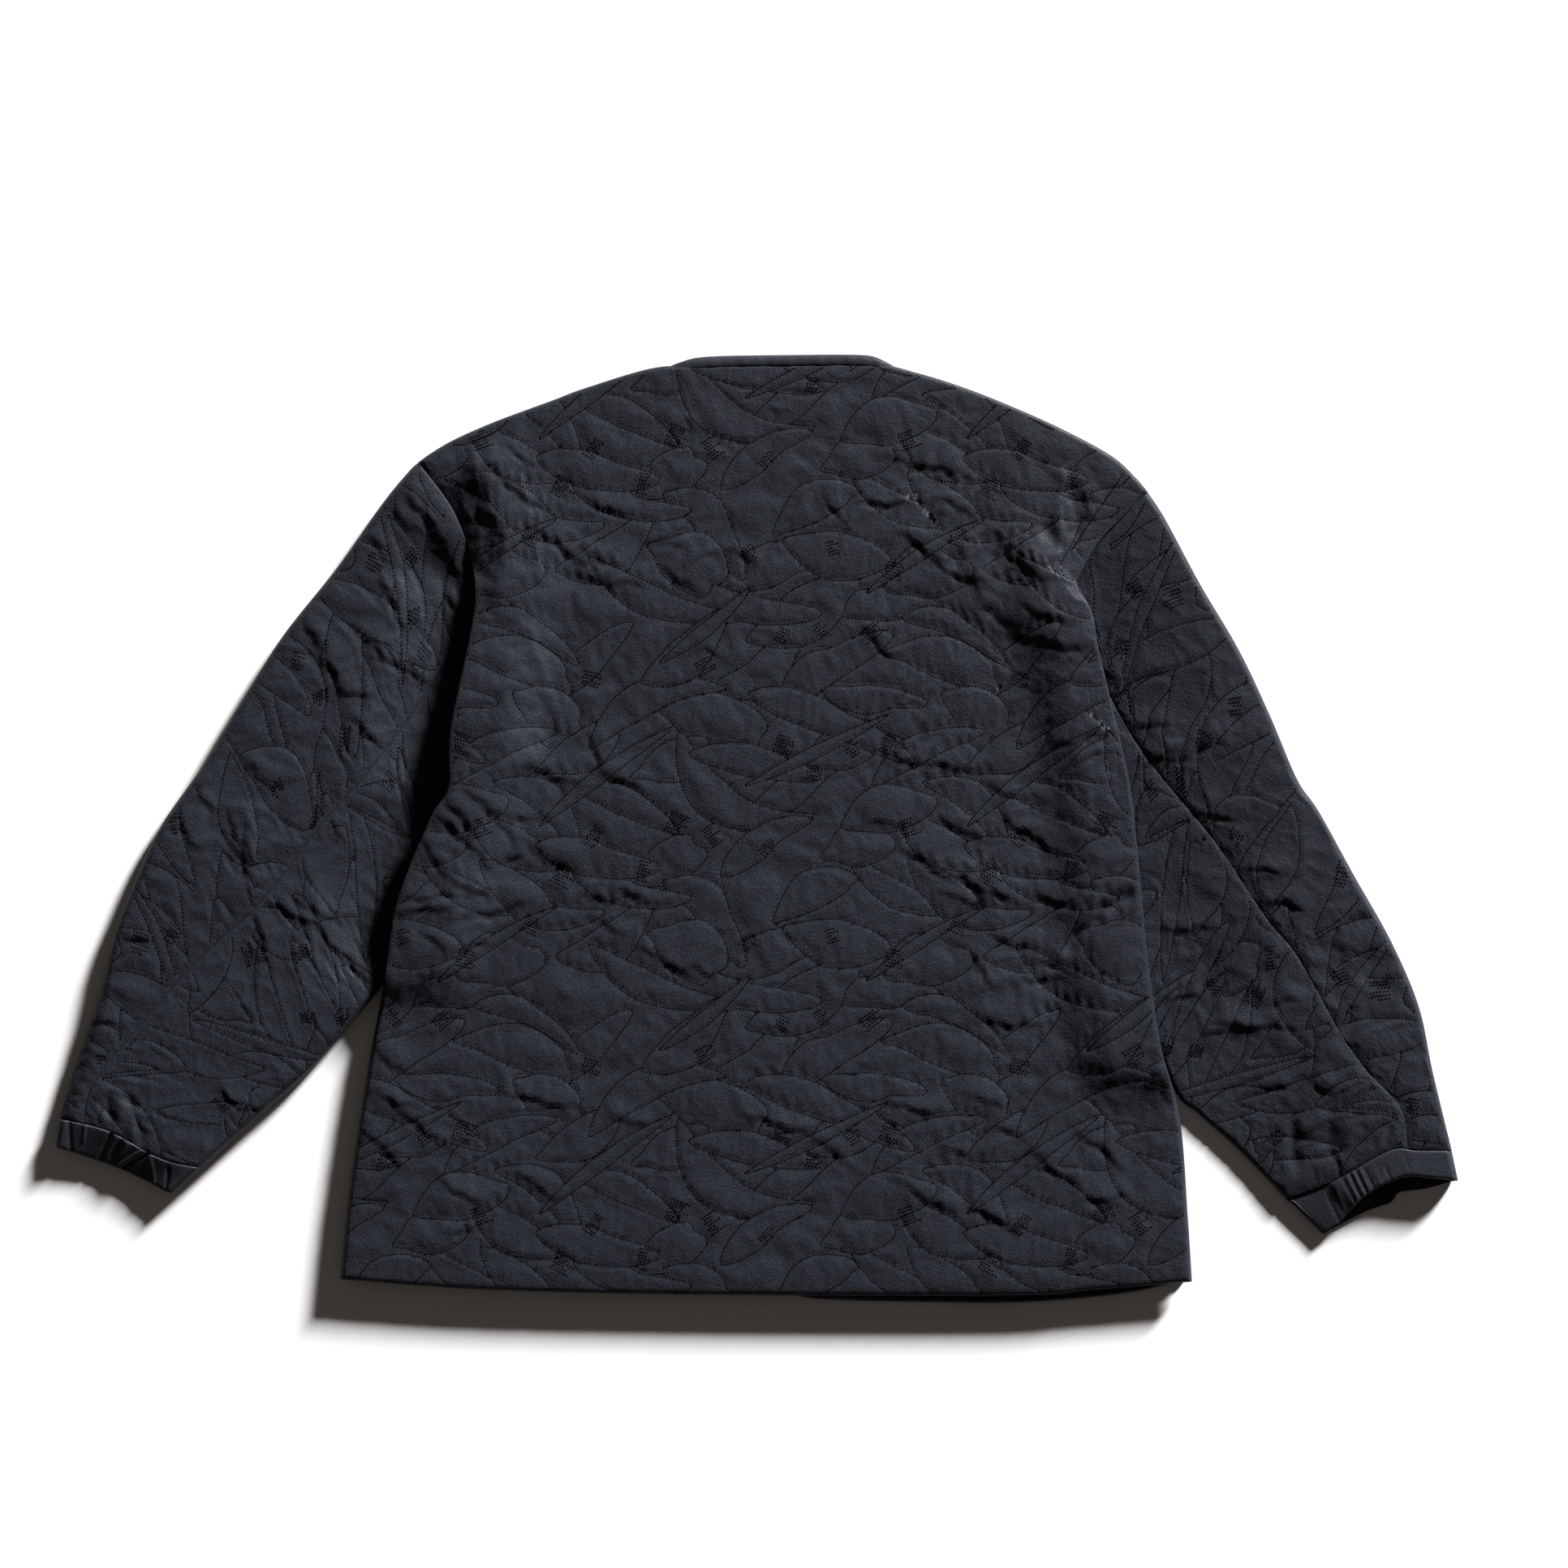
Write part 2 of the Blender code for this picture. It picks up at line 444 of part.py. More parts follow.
def make_back(look):
    """One panel from hem to neck.  Its sides turn down to the fronts or lie on the sleeves."""
    hem, top = smooth_line(HEM), smooth_line(SHOULDERS)
    width, height = shares(hem)[1], shares(BACK_LEFT_EDGE)[1]
    u_stops = even_stops(width, STEP, (SIDE_STOP,))
    v_stops = even_stops(height, STEP, (HEM_STOP,))
    for edge, notch in ((BACK_LEFT_EDGE, ARMHOLE_LEFT[-1]), (BACK_RIGHT_EDGE, ARMHOLE_RIGHT[-1])):
        corner = share_near(edge, notch)
        v_stops[np.argmin(np.abs(v_stops - corner))] = corner
    inset_u, inset_v = SEAM_GAP / 2 / width, SEAM_GAP / 2 / height
    v, u = np.meshgrid(np.clip(v_stops, inset_v, 1 - inset_v), np.clip(u_stops, inset_u, 1 - inset_u),
                       indexing="ij")
    outer = back_face(patch(BACK_LEFT_EDGE, BACK_RIGHT_EDGE, hem, top, u, v), u, v, height, True)
    rows, cols = picked(len(v_stops), 2), [0, 2] + [3 + 3 * i for i in range((len(u_stops) - 5) // 3)]
    cols = [c for c in cols if c < len(u_stops) - 3] + [len(u_stops) - 3, len(u_stops) - 1]
    inner_v, inner_u = v_stops[rows], u_stops[cols]
    inner_u[[0, -1]] = RIM_INSET / width, 1 - RIM_INSET / width
    inner_v[[0, -1]] = HEM_INSET / height, 1 - TOP_INSET / height
    v, u = np.meshgrid(inner_v, inner_u, indexing="ij")
    inner = back_face(patch(BACK_LEFT_EDGE, BACK_RIGHT_EDGE, hem, top, u, v), u, v, height, False)
    walled_sheet("back", outer, inner, rows, cols, look)


def back_face(plan, u, v, height, is_outer):
    """Height of the back over its flat plan: its outer face, or its plain inside."""
    x, y = plan[..., 0], plan[..., 1]
    across = np.hypot(*(read(BACK_RIGHT_EDGE, v[:, 0]) - read(BACK_LEFT_EDGE, v[:, 0])).T)[:, None]
    from_left, from_right = u * across, (1 - u) * across
    from_hem, from_top = v * height, (1 - v) * height
    lift_left, closed_left = seat_along(SEATS_LEFT, read(BACK_LEFT_EDGE, v)[..., 1])
    lift_right, closed_right = seat_along(SEATS_RIGHT, read(BACK_RIGHT_EDGE, v)[..., 1])
    closed_top = np.interp(x, [row.x for row in TOP_CLOSING], [row.closed for row in TOP_CLOSING])
    rise = LIFT * (ease(lift_left) * (1 - ease((from_left - LIFT_BAND) / LIFT_FADE))
                   + ease(lift_right) * (1 - ease((from_right - LIFT_BAND) / LIFT_FADE)))
    inside = WALL + LAYER_GAP + rise
    turned = np.maximum.reduce([closed_left * (1 - bulge(from_left, SIDE_ROUND)),
                                closed_right * (1 - bulge(from_right, SIDE_ROUND)),
                                closed_top * (1 - bulge(from_top, SIDE_ROUND))])
    if not is_outer:
        drop = (LAYER_GAP - SEAM_GAP) * ease(turned * TURN_SOON)
        trough = np.minimum(fold_rise(x, y, BACK_FOLDS), 0) * (1 - rise / LIFT)
        return np.dstack([x, y, np.maximum(inside - drop + trough, WALL + SEAM_GAP)])
    edge = np.minimum.reduce([from_left, from_right, from_hem, from_top])
    open_edge = np.minimum(from_hem, from_top + closed_top)
    swell = puff(x, y) * (1 - np.exp(-edge / PUFF_REACH))
    rounded = WALL * OPEN_DROP * (1 - bulge(open_edge, OPEN_ROUND))
    lying = np.maximum(ease(lift_left) * (1 - bulge(from_left, SIDE_ROUND)),
                       ease(lift_right) * (1 - bulge(from_right, SIDE_ROUND)))
    seam = SEAM_DIP * np.exp(-np.minimum(from_left, from_right) / SEAM_REACH)
    z = inside + WALL + swell + fold_rise(x, y, BACK_FOLDS) * (1 - np.exp(-edge / SEAM_REACH))
    drop = np.maximum.reduce([turned * (WALL + LAYER_GAP - RIM_FOOT), lying * (WALL - RIM_FOOT),
                              rounded, seam])
    return np.dstack([x, y, z - drop])


# ------------------------------------------------------------------- sleeves
Sleeve = namedtuple("Sleeve", "name side fold seam head end offset flare")


def side_below(edge, top_y):
    """The part of a side edge of the back that lies below a height on the plan."""
    return edge[: int(np.argmax(edge[:, 1] > top_y))]


LEFT_SIDE = side_below(BACK_LEFT_EDGE, ARMHOLE_LEFT[-1][1])
RIGHT_SIDE = side_below(BACK_RIGHT_EDGE, ARMHOLE_RIGHT[-1][1])


def covered(x, y, side):
    """0 where the sleeve shows, 1 where it lies under the back."""
    edge = LEFT_SIDE if side < 0 else RIGHT_SIDE
    depth = (np.interp(y, edge[:, 1], edge[:, 0]) - x) * side
    return ease((depth + TUCK_BESIDE) / TUCK_FADE) * ease((edge[-1, 1] + TUCK_ABOVE - y) / TUCK_FADE)


def sunk(x, y):
    """1 beside the back's left edge, where the sleeve lies pressed flat, 0 further off."""
    away = np.interp(y, LEFT_SIDE[:, 1], LEFT_SIDE[:, 0]) - x
    beside = ease((y - SUNK_Y[0]) / SUNK_FADE[0]) * ease((SUNK_Y[1] - y) / SUNK_FADE[1])
    return (1 - ease((away - SUNK_NEAR) / SUNK_REACH)) * beside


def sleeve_face(plan, from_fold, from_seam, layers, v, long, piece, is_outer):
    """Height of a sleeve piece: layer 1 is on top, -1 beneath, and 0 is the fold itself."""
    x, y = plan[..., 0], plan[..., 1]
    hidden = covered(x, y, piece.side)
    pressed = SUNK * sunk(x, y) if piece.side < 0 else 0
    top = SLEEVE_HEIGHT - np.maximum(TUCK * hidden, pressed)
    middle = top / 2
    if not is_outer:
        return np.dstack([x, y, middle + np.sign(layers) * (middle - WALL * top / SLEEVE_HEIGHT)])
    round_up = FOLD_ROUND_UP + piece.flare * ease((v - FLARE_FROM) / (1 - FLARE_FROM))
    upper = middle + (top - middle) * bulge(from_fold, round_up)
    lower = middle - middle * bulge(from_fold, FOLD_ROUND_DOWN)
    edge = np.minimum.reduce([from_fold, from_seam, v * long, (1 - v) * long])
    swell = puff(piece.offset + from_fold, v * long) + fold_rise(x, y, SLEEVE_FOLDS)
    swell = swell * (1 - np.exp(-edge / PUFF_REACH)) * (1 - hidden)
    seam = SEAM_DIP * np.exp(-np.minimum(from_seam, np.minimum(v, 1 - v) * long) / SEAM_REACH)
    return np.dstack([x, y, np.where(layers > 0, upper + swell - seam, np.where(layers < 0, lower, middle))])


def sleeve_piece(piece, look):
    """Half of a flattened sleeve: from the back seam round one folded edge and back beneath."""
    long = shares(piece.seam)[1]
    widest = max(np.hypot(*(read(piece.fold, 0) - read(piece.seam, 0))), WIDEST_HALF)
    upper = even_stops(widest, STEP)[1:]
    count = len(upper)
    layers = np.concatenate([np.ones(count + 1), [0], -np.ones(1 + len(LOWER_STOPS))])
    v_line = np.clip(even_stops(long, STEP), SEAM_GAP / 2 / long, 1 - SEAM_GAP / 2 / long)
    v = np.repeat(v_line[:, None], len(layers), 1)
    width = np.hypot(*(read(piece.fold, v_line) - read(piece.seam, v_line)).T)[:, None]
    stops = np.concatenate([upper[::-1], [0], [0], [0], LOWER_STOPS])[None, :] * np.ones_like(v)
    near = np.minimum(FOLD_STOP / width[:, 0], upper[0] / 2)
    stops[:, count] = stops[:, count + 2] = near
    u = stops * (1 - SEAM_GAP / 2 / width)
    outer = sleeve_face(patch(piece.fold, piece.seam, piece.head, piece.end, u, v), u * width,
                        (1 - u) * width, layers, v, long, piece, True)
    cols = [0] + [c for c in range(3, count - 1, 4)] + [count - 1, count + 1, count + 3, count + 7]
    rows = picked(len(v_line), 2)
    inner_layers = np.array([1.0] * (len(cols) - 3) + [0, -1, -1])
    inner_v = np.clip(v_line[rows], END_INSET / long, 1 - END_INSET / long)
    inner_v = np.repeat(inner_v[:, None], len(cols), 1)
    inner_width = width[rows]
    inner_u = (WALL + stops[rows][:, cols] * (inner_width - WALL - SEAM_INSET)) / inner_width
    inner = sleeve_face(patch(piece.fold, piece.seam, piece.head, piece.end, inner_u, inner_v),
                        inner_u * inner_width, (1 - inner_u) * inner_width, inner_layers, inner_v, long,
                        piece, False)
    walled_sheet(piece.name, outer, inner, rows, cols, look)
    return outer[-1, count::-1, :2], outer[-1, count + 2:, :2]


def make_sleeve(side, armhole, hidden_armhole, outer, seam, inner, casing, look):
    label = "left" if side < 0 else "right"
    head = joined(smooth_line(armhole), smooth_line(hidden_armhole))
    end, seam_line = smooth_line(casing), smooth_line(seam)
    split_head, split_end = share_near(head, seam[0]), share_near(end, seam[-1])
    seam_line = np.vstack([read(head, split_head), seam_line[1:-1], read(end, split_end)])
    top = sleeve_piece(Sleeve(f"sleeve_top_{label}", side, smooth_line(outer), seam_line,
                              stretch(head, 0, split_head), stretch(end, 0, split_end), 0.0,
                              END_FLARE if side < 0 else 0), look)
    under = sleeve_piece(Sleeve(f"sleeve_under_{label}", side, smooth_line(inner), seam_line,
                                stretch(head, 1, split_head), stretch(end, 1, split_end),
                                UNDER_OFFSET, 0), look)
    return [np.vstack([top[layer], under[layer][::-1]]) for layer in (0, 1)]


# --------------------------------------------------------------------- cuffs
def pleat_rise(t, pleats):
    return sum(pleat.rise * np.exp(-((t - pleat.t) / PLEAT_WIDTH) ** 2) for pleat in pleats)


def make_cuff(name, sleeve_end, mouth_upper, mouth_lower, gape, pleats, look):
    """A closed tube of cloth gathered on elastic, from the sleeve's end to the mouth."""
    upper = np.linspace(0, 1, CASING_POINTS)
    lower = shares(sleeve_end[1])[0][-2:0:-1]
    t = np.concatenate([upper, lower])
    is_upper = np.concatenate([np.ones(len(upper), bool), np.zeros(len(lower), bool)])
    width = shares(sleeve_end[0])[1]
    from_fold = np.minimum(t, 1 - t) * width
    edges = smooth_line(mouth_upper), smooth_line(mouth_lower)
    rings = {True: [], False: []}
    for s in CASING_STATIONS:
        for outside in (True, False):
            squeeze = 0.0 if outside else WALL
            share = squeeze / width + t * (1 - 2 * squeeze / width)
            mouth = np.where(is_upper[:, None], read(edges[0], share), read(edges[1], share))
            start = np.where(is_upper[:, None], read(sleeve_end[0], share), read(sleeve_end[1], share))
            plan = start * (1 - s) + mouth * s
            if s == 0.0:
                away = mouth - plan
                clear = CASING_CLEAR if outside else CASING_CLEAR + CASING_INSET
                plan = plan + clear / np.hypot(away[:, 0], away[:, 1])[:, None] * away
            top = SLEEVE_HEIGHT + gape * s * np.sqrt(np.sin(np.pi * np.clip(t, 0, 1)))
            middle = np.minimum(top, SLEEVE_HEIGHT) / 2
            if outside:
                high = middle + (top - middle) * bulge(from_fold, FOLD_ROUND_UP)
                high = high + pleat_rise(t, pleats) * math.sqrt(s) - SEAM_DIP * (s == 0.0)
                low = middle - middle * bulge(from_fold, FOLD_ROUND_DOWN)
            else:
                round_in = bulge(from_fold + INNER_EASE, FOLD_ROUND_UP)
                high = middle + (top - CASING_WALL - middle) * round_in
                low = middle - (middle - CASING_WALL) * round_in
            rings[outside].append(np.column_stack([plan, np.where(is_upper, high, low)]))
    ring_object(name, np.array(rings[True]), np.array(rings[False]), look)


def ring_object(name, outer, inner, look):
    rows, cols = outer.shape[:2]
    ids = np.arange(2 * rows * cols).reshape(2, rows, cols)
    faces = []
    for c in range(cols):
        d = (c + 1) % cols
        for layer in (0, 1):
            faces += [(ids[layer, r, c], ids[layer, r, d], ids[layer, r + 1, d], ids[layer, r + 1, c])
                      for r in range(rows - 1)]
        faces += [(ids[0, r, c], ids[0, r, d], ids[1, r, d], ids[1, r, c]) for r in (0, rows - 1)]
    faces = [tuple(int(i) for i in face) for face in faces]
    add_object(name, np.vstack([outer.reshape(-1, 3), inner.reshape(-1, 3)]), faces, look)


# -------------------------------------------------------------------- fronts
Front = namedtuple("Front", "name side body_side inner armhole hidden hem neckline leaving")


def make_front(front, look):
    """A plain padded panel that lies flat under the back, as far as the sleeve and the centre."""
    side, ridge_line = front.side, smooth_line(SHOULDERS)
    below = smooth_line(front.body_side)
    below = below[below[:, 1] < front.leaving - LEAVING_BELOW] - np.array([side * FRONT_INSET, 0])
    below[0] = front.hem[0] if side < 0 else front.hem[-1]
    underarm = smooth_line(front.inner)[::-1]
    underarm = underarm[underarm[:, 1] > front.leaving + LEAVING_ABOVE]
    arm = joined(smooth_line(front.armhole), smooth_line(front.hidden))[::-1]
    beside = moved_in(np.vstack([underarm, arm[1:]]), -side * FRONT_CLEAR)
    edge = np.vstack([below, beside])
    end = np.array([edge[-1][0] - side * TIP_IN, edge[-1][1] - FRONT_INSET])
    edge = np.vstack([edge[edge[:, 1] < end[1] - 2 * TIP_IN], end])
    reach = (ridge_line[:, 0] - front.neckline[-1][0]) * side
    room_left = (end[0] - ridge_line[:, 0]) * side
    ridge = ridge_line[(reach > 0) & (room_left > 3 * TIP_IN)] - np.array([0, FRONT_INSET + FRONT_SHORT])
    centre_x = CENTRE_X + side * SEAM_GAP
    foot = front.hem[-1] if side < 0 else front.hem[0]
    middle = np.vstack([[centre_x, foot[1]], [centre_x, 0.0], smooth_line(front.neckline)])
    middle[:, 0] = np.where(middle[:, 1] <= front.neckline[0][1], centre_x, middle[:, 0])
    if side < 0:
        left, right = edge, middle
        hem, top = smooth_line(front.hem[:-1] + (tuple(middle[0]),)), np.vstack([end, ridge, middle[-1]])
    else:
        left, right = middle, edge
        hem, top = smooth_line((tuple(middle[0]),) + front.hem[1:]), np.vstack([middle[-1], ridge, end])
    u_line = even_stops(shares(hem)[1], FRONT_STEP_X)
    v_line = even_stops(shares(left)[1], FRONT_STEP_Y)
    v, u = np.meshgrid(v_line, u_line, indexing="ij")
    plan = patch(left, right, hem, top, u, v)
    walled_sheet(front.name, np.dstack([plan, np.full(u.shape, WALL)]), np.dstack([plan, np.zeros(u.shape)]),
                 list(range(len(v_line))), list(range(len(u_line))), look)


# ------------------------------------------------------------------- binding
def make_binding(look):
    """The narrow folded strip along the back of the neck."""
    line = read(smooth_line(NECK_EDGE), np.linspace(0, 1, BINDING_STEPS))
    way = np.gradient(line, axis=0)
    way /= np.hypot(way[:, 0], way[:, 1])[:, None]
    side = np.stack([-way[:, 1], way[:, 0]], -1)
    angles = np.linspace(0, 2 * np.pi, BINDING_SIDES, endpoint=False)
    middle, half = (BINDING_TOP + BINDING_FOOT) / 2, (BINDING_TOP - BINDING_FOOT) / 2
    rings = []
    for i, point in enumerate(line):
        taper = BINDING_ENDS + (1 - BINDING_ENDS) * ease(min(i, BINDING_STEPS - 1 - i) / 2)
        across = side[i] * BINDING_WIDTH / 2 * taper
        rings.append([(*(point + across * np.cos(a)), middle + half * np.sin(a) * taper) for a in angles])
    ids = np.arange(BINDING_STEPS * BINDING_SIDES).reshape(BINDING_STEPS, BINDING_SIDES)
    faces = grid_faces(np.hstack([ids, ids[:, :1]])) + [tuple(ids[0]), tuple(ids[-1])]
    faces = [tuple(int(i) for i in face) for face in faces]
    add_object("neck_binding", np.array(rings).reshape(-1, 3), faces, look)


shell = material("quilted_nylon", (0.0150, 0.0170, 0.0222), 0.55)
plain = material("nylon_trim", (0.0155, 0.0175, 0.0225), 0.55)
make_back(shell)
make_front(Front("front_left", -1, SIDE_LEFT, INNER_LEFT, ARMHOLE_LEFT, HIDDEN_ARMHOLE_LEFT,
                 HEM_FRONT_LEFT, NECKLINE_FRONT_LEFT, INNER_LEFT[2][1]), shell)
make_front(Front("front_right", 1, SIDE_RIGHT, INNER_RIGHT, ARMHOLE_RIGHT, HIDDEN_ARMHOLE_RIGHT,
                 HEM_FRONT_RIGHT, NECKLINE_FRONT_RIGHT, INNER_RIGHT[3][1]), shell)
left_end = make_sleeve(-1, ARMHOLE_LEFT, HIDDEN_ARMHOLE_LEFT, OUTER_LEFT, BACK_SEAM_LEFT, INNER_LEFT,
                       CASING_LEFT, shell)
right_end = make_sleeve(1, ARMHOLE_RIGHT, HIDDEN_ARMHOLE_RIGHT, OUTER_RIGHT, BACK_SEAM_RIGHT,
                        INNER_RIGHT, CASING_RIGHT, shell)
make_cuff("cuff_left", left_end, MOUTH_LEFT, MOUTH_LEFT, -MOUTH_FALL, PLEATS_LEFT, plain)
make_cuff("cuff_right", right_end, MOUTH_RIGHT_UPPER, MOUTH_RIGHT_LOWER, MOUTH_RISE, PLEATS_RIGHT, plain)
make_binding(plain)
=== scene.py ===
import math
from collections import namedtuple

import bmesh
import bpy
import numpy as np
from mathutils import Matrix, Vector
from mathutils.bvhtree import BVHTree
from mathutils.kdtree import KDTree


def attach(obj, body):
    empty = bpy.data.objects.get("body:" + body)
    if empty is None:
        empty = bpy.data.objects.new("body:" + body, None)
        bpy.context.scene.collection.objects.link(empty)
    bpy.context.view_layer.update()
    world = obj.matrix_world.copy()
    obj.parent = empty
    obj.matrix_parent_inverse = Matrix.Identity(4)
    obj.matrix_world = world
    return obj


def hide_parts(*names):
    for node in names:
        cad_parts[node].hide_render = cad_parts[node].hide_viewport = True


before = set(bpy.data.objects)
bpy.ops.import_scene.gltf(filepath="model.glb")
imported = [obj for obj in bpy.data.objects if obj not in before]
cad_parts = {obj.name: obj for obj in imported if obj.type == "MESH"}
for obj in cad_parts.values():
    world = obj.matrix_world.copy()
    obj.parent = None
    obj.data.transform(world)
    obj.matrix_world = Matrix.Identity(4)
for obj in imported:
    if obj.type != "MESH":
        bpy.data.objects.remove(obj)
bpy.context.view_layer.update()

# ----------------------------------------------------------------- the view
# The jacket lies on a pale surface and is seen from straight above.  A broad lamp
# stands far off at the upper right, low, and the room's light fills the shadows.
LENS, SENSOR = 85, 36
VIEW_CENTRE = (0.0212, 0.0325)
VIEW_WIDTH = 1.173
CLOTH_LEVEL = 0.015
LAMP_WAY, LAMP_HEIGHT_DEG = (0.60, 0.80), 16.0
LAMP_DISTANCE, LAMP_SIZE, LAMP_WATTS = 30.0, 4.2, 39500
ROOM_LIGHT, ROOM_COLOUR = 0.048, (1.0, 0.86, 0.78)
FLOOR_SIZE, FLOOR_COLOUR, FLOOR_ROUGHNESS = 12.0, (0.93, 0.92, 0.91), 0.8
GRAIN_SCALE, GRAIN_DEPTH, GRAIN_STRENGTH = 900, 0.0005, 0.10


def placed(name, data):
    made = bpy.data.objects.new(name, data)
    bpy.context.scene.collection.objects.link(made)
    return made


def new_material(name, colour, roughness):
    """A plain material, and with it its nodes, its links and its shader."""
    made = bpy.data.materials.new(name)
    made.use_nodes = True
    shader = made.node_tree.nodes["Principled BSDF"]
    shader.inputs["Base Color"].default_value = (*colour, 1)
    shader.inputs["Roughness"].default_value = roughness
    return made, made.node_tree.nodes, made.node_tree.links, shader


def add_bump(nodes, links, shader, height, distance, strength=1.0):
    """Relief of the given depth in metres, from a height socket, on the shader's normal."""
    bump = nodes.new("ShaderNodeBump")
    bump.inputs["Strength"].default_value = strength
    bump.inputs["Distance"].default_value = distance
    links.new(height, bump.inputs["Height"])
    links.new(bump.outputs["Normal"], shader.inputs["Normal"])


camera_lens = bpy.data.cameras.new("camera")
camera_lens.lens, camera_lens.sensor_width = LENS, SENSOR
camera = placed("camera", camera_lens)
camera.location = (*VIEW_CENTRE, CLOTH_LEVEL + VIEW_WIDTH * LENS / SENSOR)
bpy.context.scene.camera = camera
bpy.context.scene.view_settings.view_transform = "Standard"

lamp_way = Vector((*LAMP_WAY, 0)).normalized() * math.cos(math.radians(LAMP_HEIGHT_DEG))
lamp_way.z = math.sin(math.radians(LAMP_HEIGHT_DEG))
lamp_light = bpy.data.lights.new("lamp", "AREA")
lamp_light.size, lamp_light.energy = LAMP_SIZE, LAMP_WATTS
lamp = placed("lamp", lamp_light)
lamp.location = lamp_way * LAMP_DISTANCE
lamp.rotation_euler = lamp_way.to_track_quat("Z", "Y").to_euler()
room = bpy.data.worlds.new("room")
room.use_nodes = True
room.node_tree.nodes["Background"].inputs["Color"].default_value = (*ROOM_COLOUR, 1)
room.node_tree.nodes["Background"].inputs["Strength"].default_value = ROOM_LIGHT
bpy.context.scene.world = room

half = FLOOR_SIZE / 2
floor_mesh = bpy.data.meshes.new("floor")
floor_mesh.from_pydata([(-half, -half, 0), (half, -half, 0), (half, half, 0), (-half, half, 0)], [],
                       [(0, 1, 2, 3)])
floor_look, nodes, links, shader = new_material("pale_floor", FLOOR_COLOUR, FLOOR_ROUGHNESS)
grain = nodes.new("ShaderNodeTexNoise")
grain.inputs["Scale"].default_value = GRAIN_SCALE
add_bump(nodes, links, shader, grain.outputs["Fac"], GRAIN_DEPTH, GRAIN_STRENGTH)
floor_mesh.materials.append(floor_look)
placed("floor", floor_mesh)

# ----------------------------------------------------------------- the cloth
# Dark blue-grey nylon, plain woven and crisp.  Its fine crumples run with the grain,
# from neck to hem and from shoulder to cuff, and it shines a little where it bends.
NYLON = (0.0150, 0.0170, 0.0222)
NYLON_ROUGHNESS, NYLON_SPECULAR = 0.55, 0.12
NYLON_SHEEN, SHEEN_ROUGHNESS, SHEEN_TINT = 0.03, 0.45, (0.75, 0.85, 1.0)
NYLON_RELIEF = 0.0009                    # depth of the quilted nylon's crumples
# What each part of the pattern adds to the relief's height, and to the shade.
THREAD_HEIGHT, STREAK_HEIGHT, CRUMPLE_HEIGHT, GRIT_HEIGHT = 0.01, 0.08, 0.40, 0.40
STREAK_SHADE, CRUMPLE_SHADE, DRIFT_SHADE, GRIT_SHADE = 0.08, 0.12, 0.20, 0.60
SHADE_FROM = (0.3, 0.7)                  # the part of the shade that is spread over
SHADE_TO, GLOSS_TO = (0.62, 1.38), (0.88, 1.10)  # these shares of the colour and the roughness


def cloth_group():
    """Node group: the weave and the fine crumples of a woven cloth, as a height and a shade."""
    group = bpy.data.node_groups.new("woven_crumple", "ShaderNodeTree")
    for name, kind, default in (("Vector", "NodeSocketVector", None), ("Turn", "NodeSocketFloat", 0.0),
                                ("Threads", "NodeSocketFloat", 900.0), ("Crumple", "NodeSocketFloat", 110.0)):
        socket = group.interface.new_socket(name, in_out="INPUT", socket_type=kind)
        if default is not None:
            socket.default_value = default
    group.interface.new_socket("Height", in_out="OUTPUT", socket_type="NodeSocketFloat")
    group.interface.new_socket("Shade", in_out="OUTPUT", socket_type="NodeSocketFloat")
    made, link = group.nodes.new, group.links.new
    come, go = made("NodeGroupInput"), made("NodeGroupOutput")
    turned = made("ShaderNodeVectorRotate")
    turned.rotation_type = "Z_AXIS"
    link(come.outputs["Vector"], turned.inputs["Vector"])
    link(come.outputs["Turn"], turned.inputs["Angle"])

    def noise(stretch, scale_from, detail, factor=1.0):
        along = made("ShaderNodeVectorMath")
        along.operation = "MULTIPLY"
        along.inputs[1].default_value = stretch
        link(turned.outputs["Vector"], along.inputs[0])
        cloud = made("ShaderNodeTexNoise")
        cloud.inputs["Detail"].default_value = detail
        link(along.outputs["Vector"], cloud.inputs["Vector"])
        scale = made("ShaderNodeMath")
        scale.operation = "MULTIPLY"
        scale.inputs[1].default_value = factor
        link(come.outputs[scale_from], scale.inputs[0])
        link(scale.outputs["Value"], cloud.inputs["Scale"])
        return cloud.outputs["Fac"]

    def weighed(parts):
        total = None
        for value, weight in parts:
            step = made("ShaderNodeMath")
            step.operation = "MULTIPLY_ADD"
            step.inputs[1].default_value = weight
            step.inputs[2].default_value = 0.0
            link(value, step.inputs[0])
            if total is not None:
                link(total, step.inputs[2])
            total = step.outputs["Value"]
        return total

    threads = []
    for direction in ("X", "Y"):
        wave = made("ShaderNodeTexWave")
        wave.bands_direction = direction
        link(turned.outputs["Vector"], wave.inputs["Vector"])
        link(come.outputs["Threads"], wave.inputs["Scale"])
        threads.append(wave.outputs["Fac"])
    streaks = noise((1.0, 0.35, 1.0), "Crumple", 3.0, 2.2)
    crumple = noise((1.0, 0.9, 1.0), "Crumple", 4.0)
    drift = noise((1.0, 1.0, 1.0), "Crumple", 2.0, 0.12)
    grit = noise((1.0, 1.0, 1.0), "Crumple", 2.0, 5.5)
    link(weighed(((threads[0], THREAD_HEIGHT), (threads[1], THREAD_HEIGHT), (streaks, STREAK_HEIGHT),
                  (crumple, CRUMPLE_HEIGHT), (grit, GRIT_HEIGHT))), go.inputs["Height"])
    link(weighed(((streaks, STREAK_SHADE), (crumple, CRUMPLE_SHADE), (drift, DRIFT_SHADE),
                  (grit, GRIT_SHADE))), go.inputs["Shade"])
    return group


woven_crumple = cloth_group()


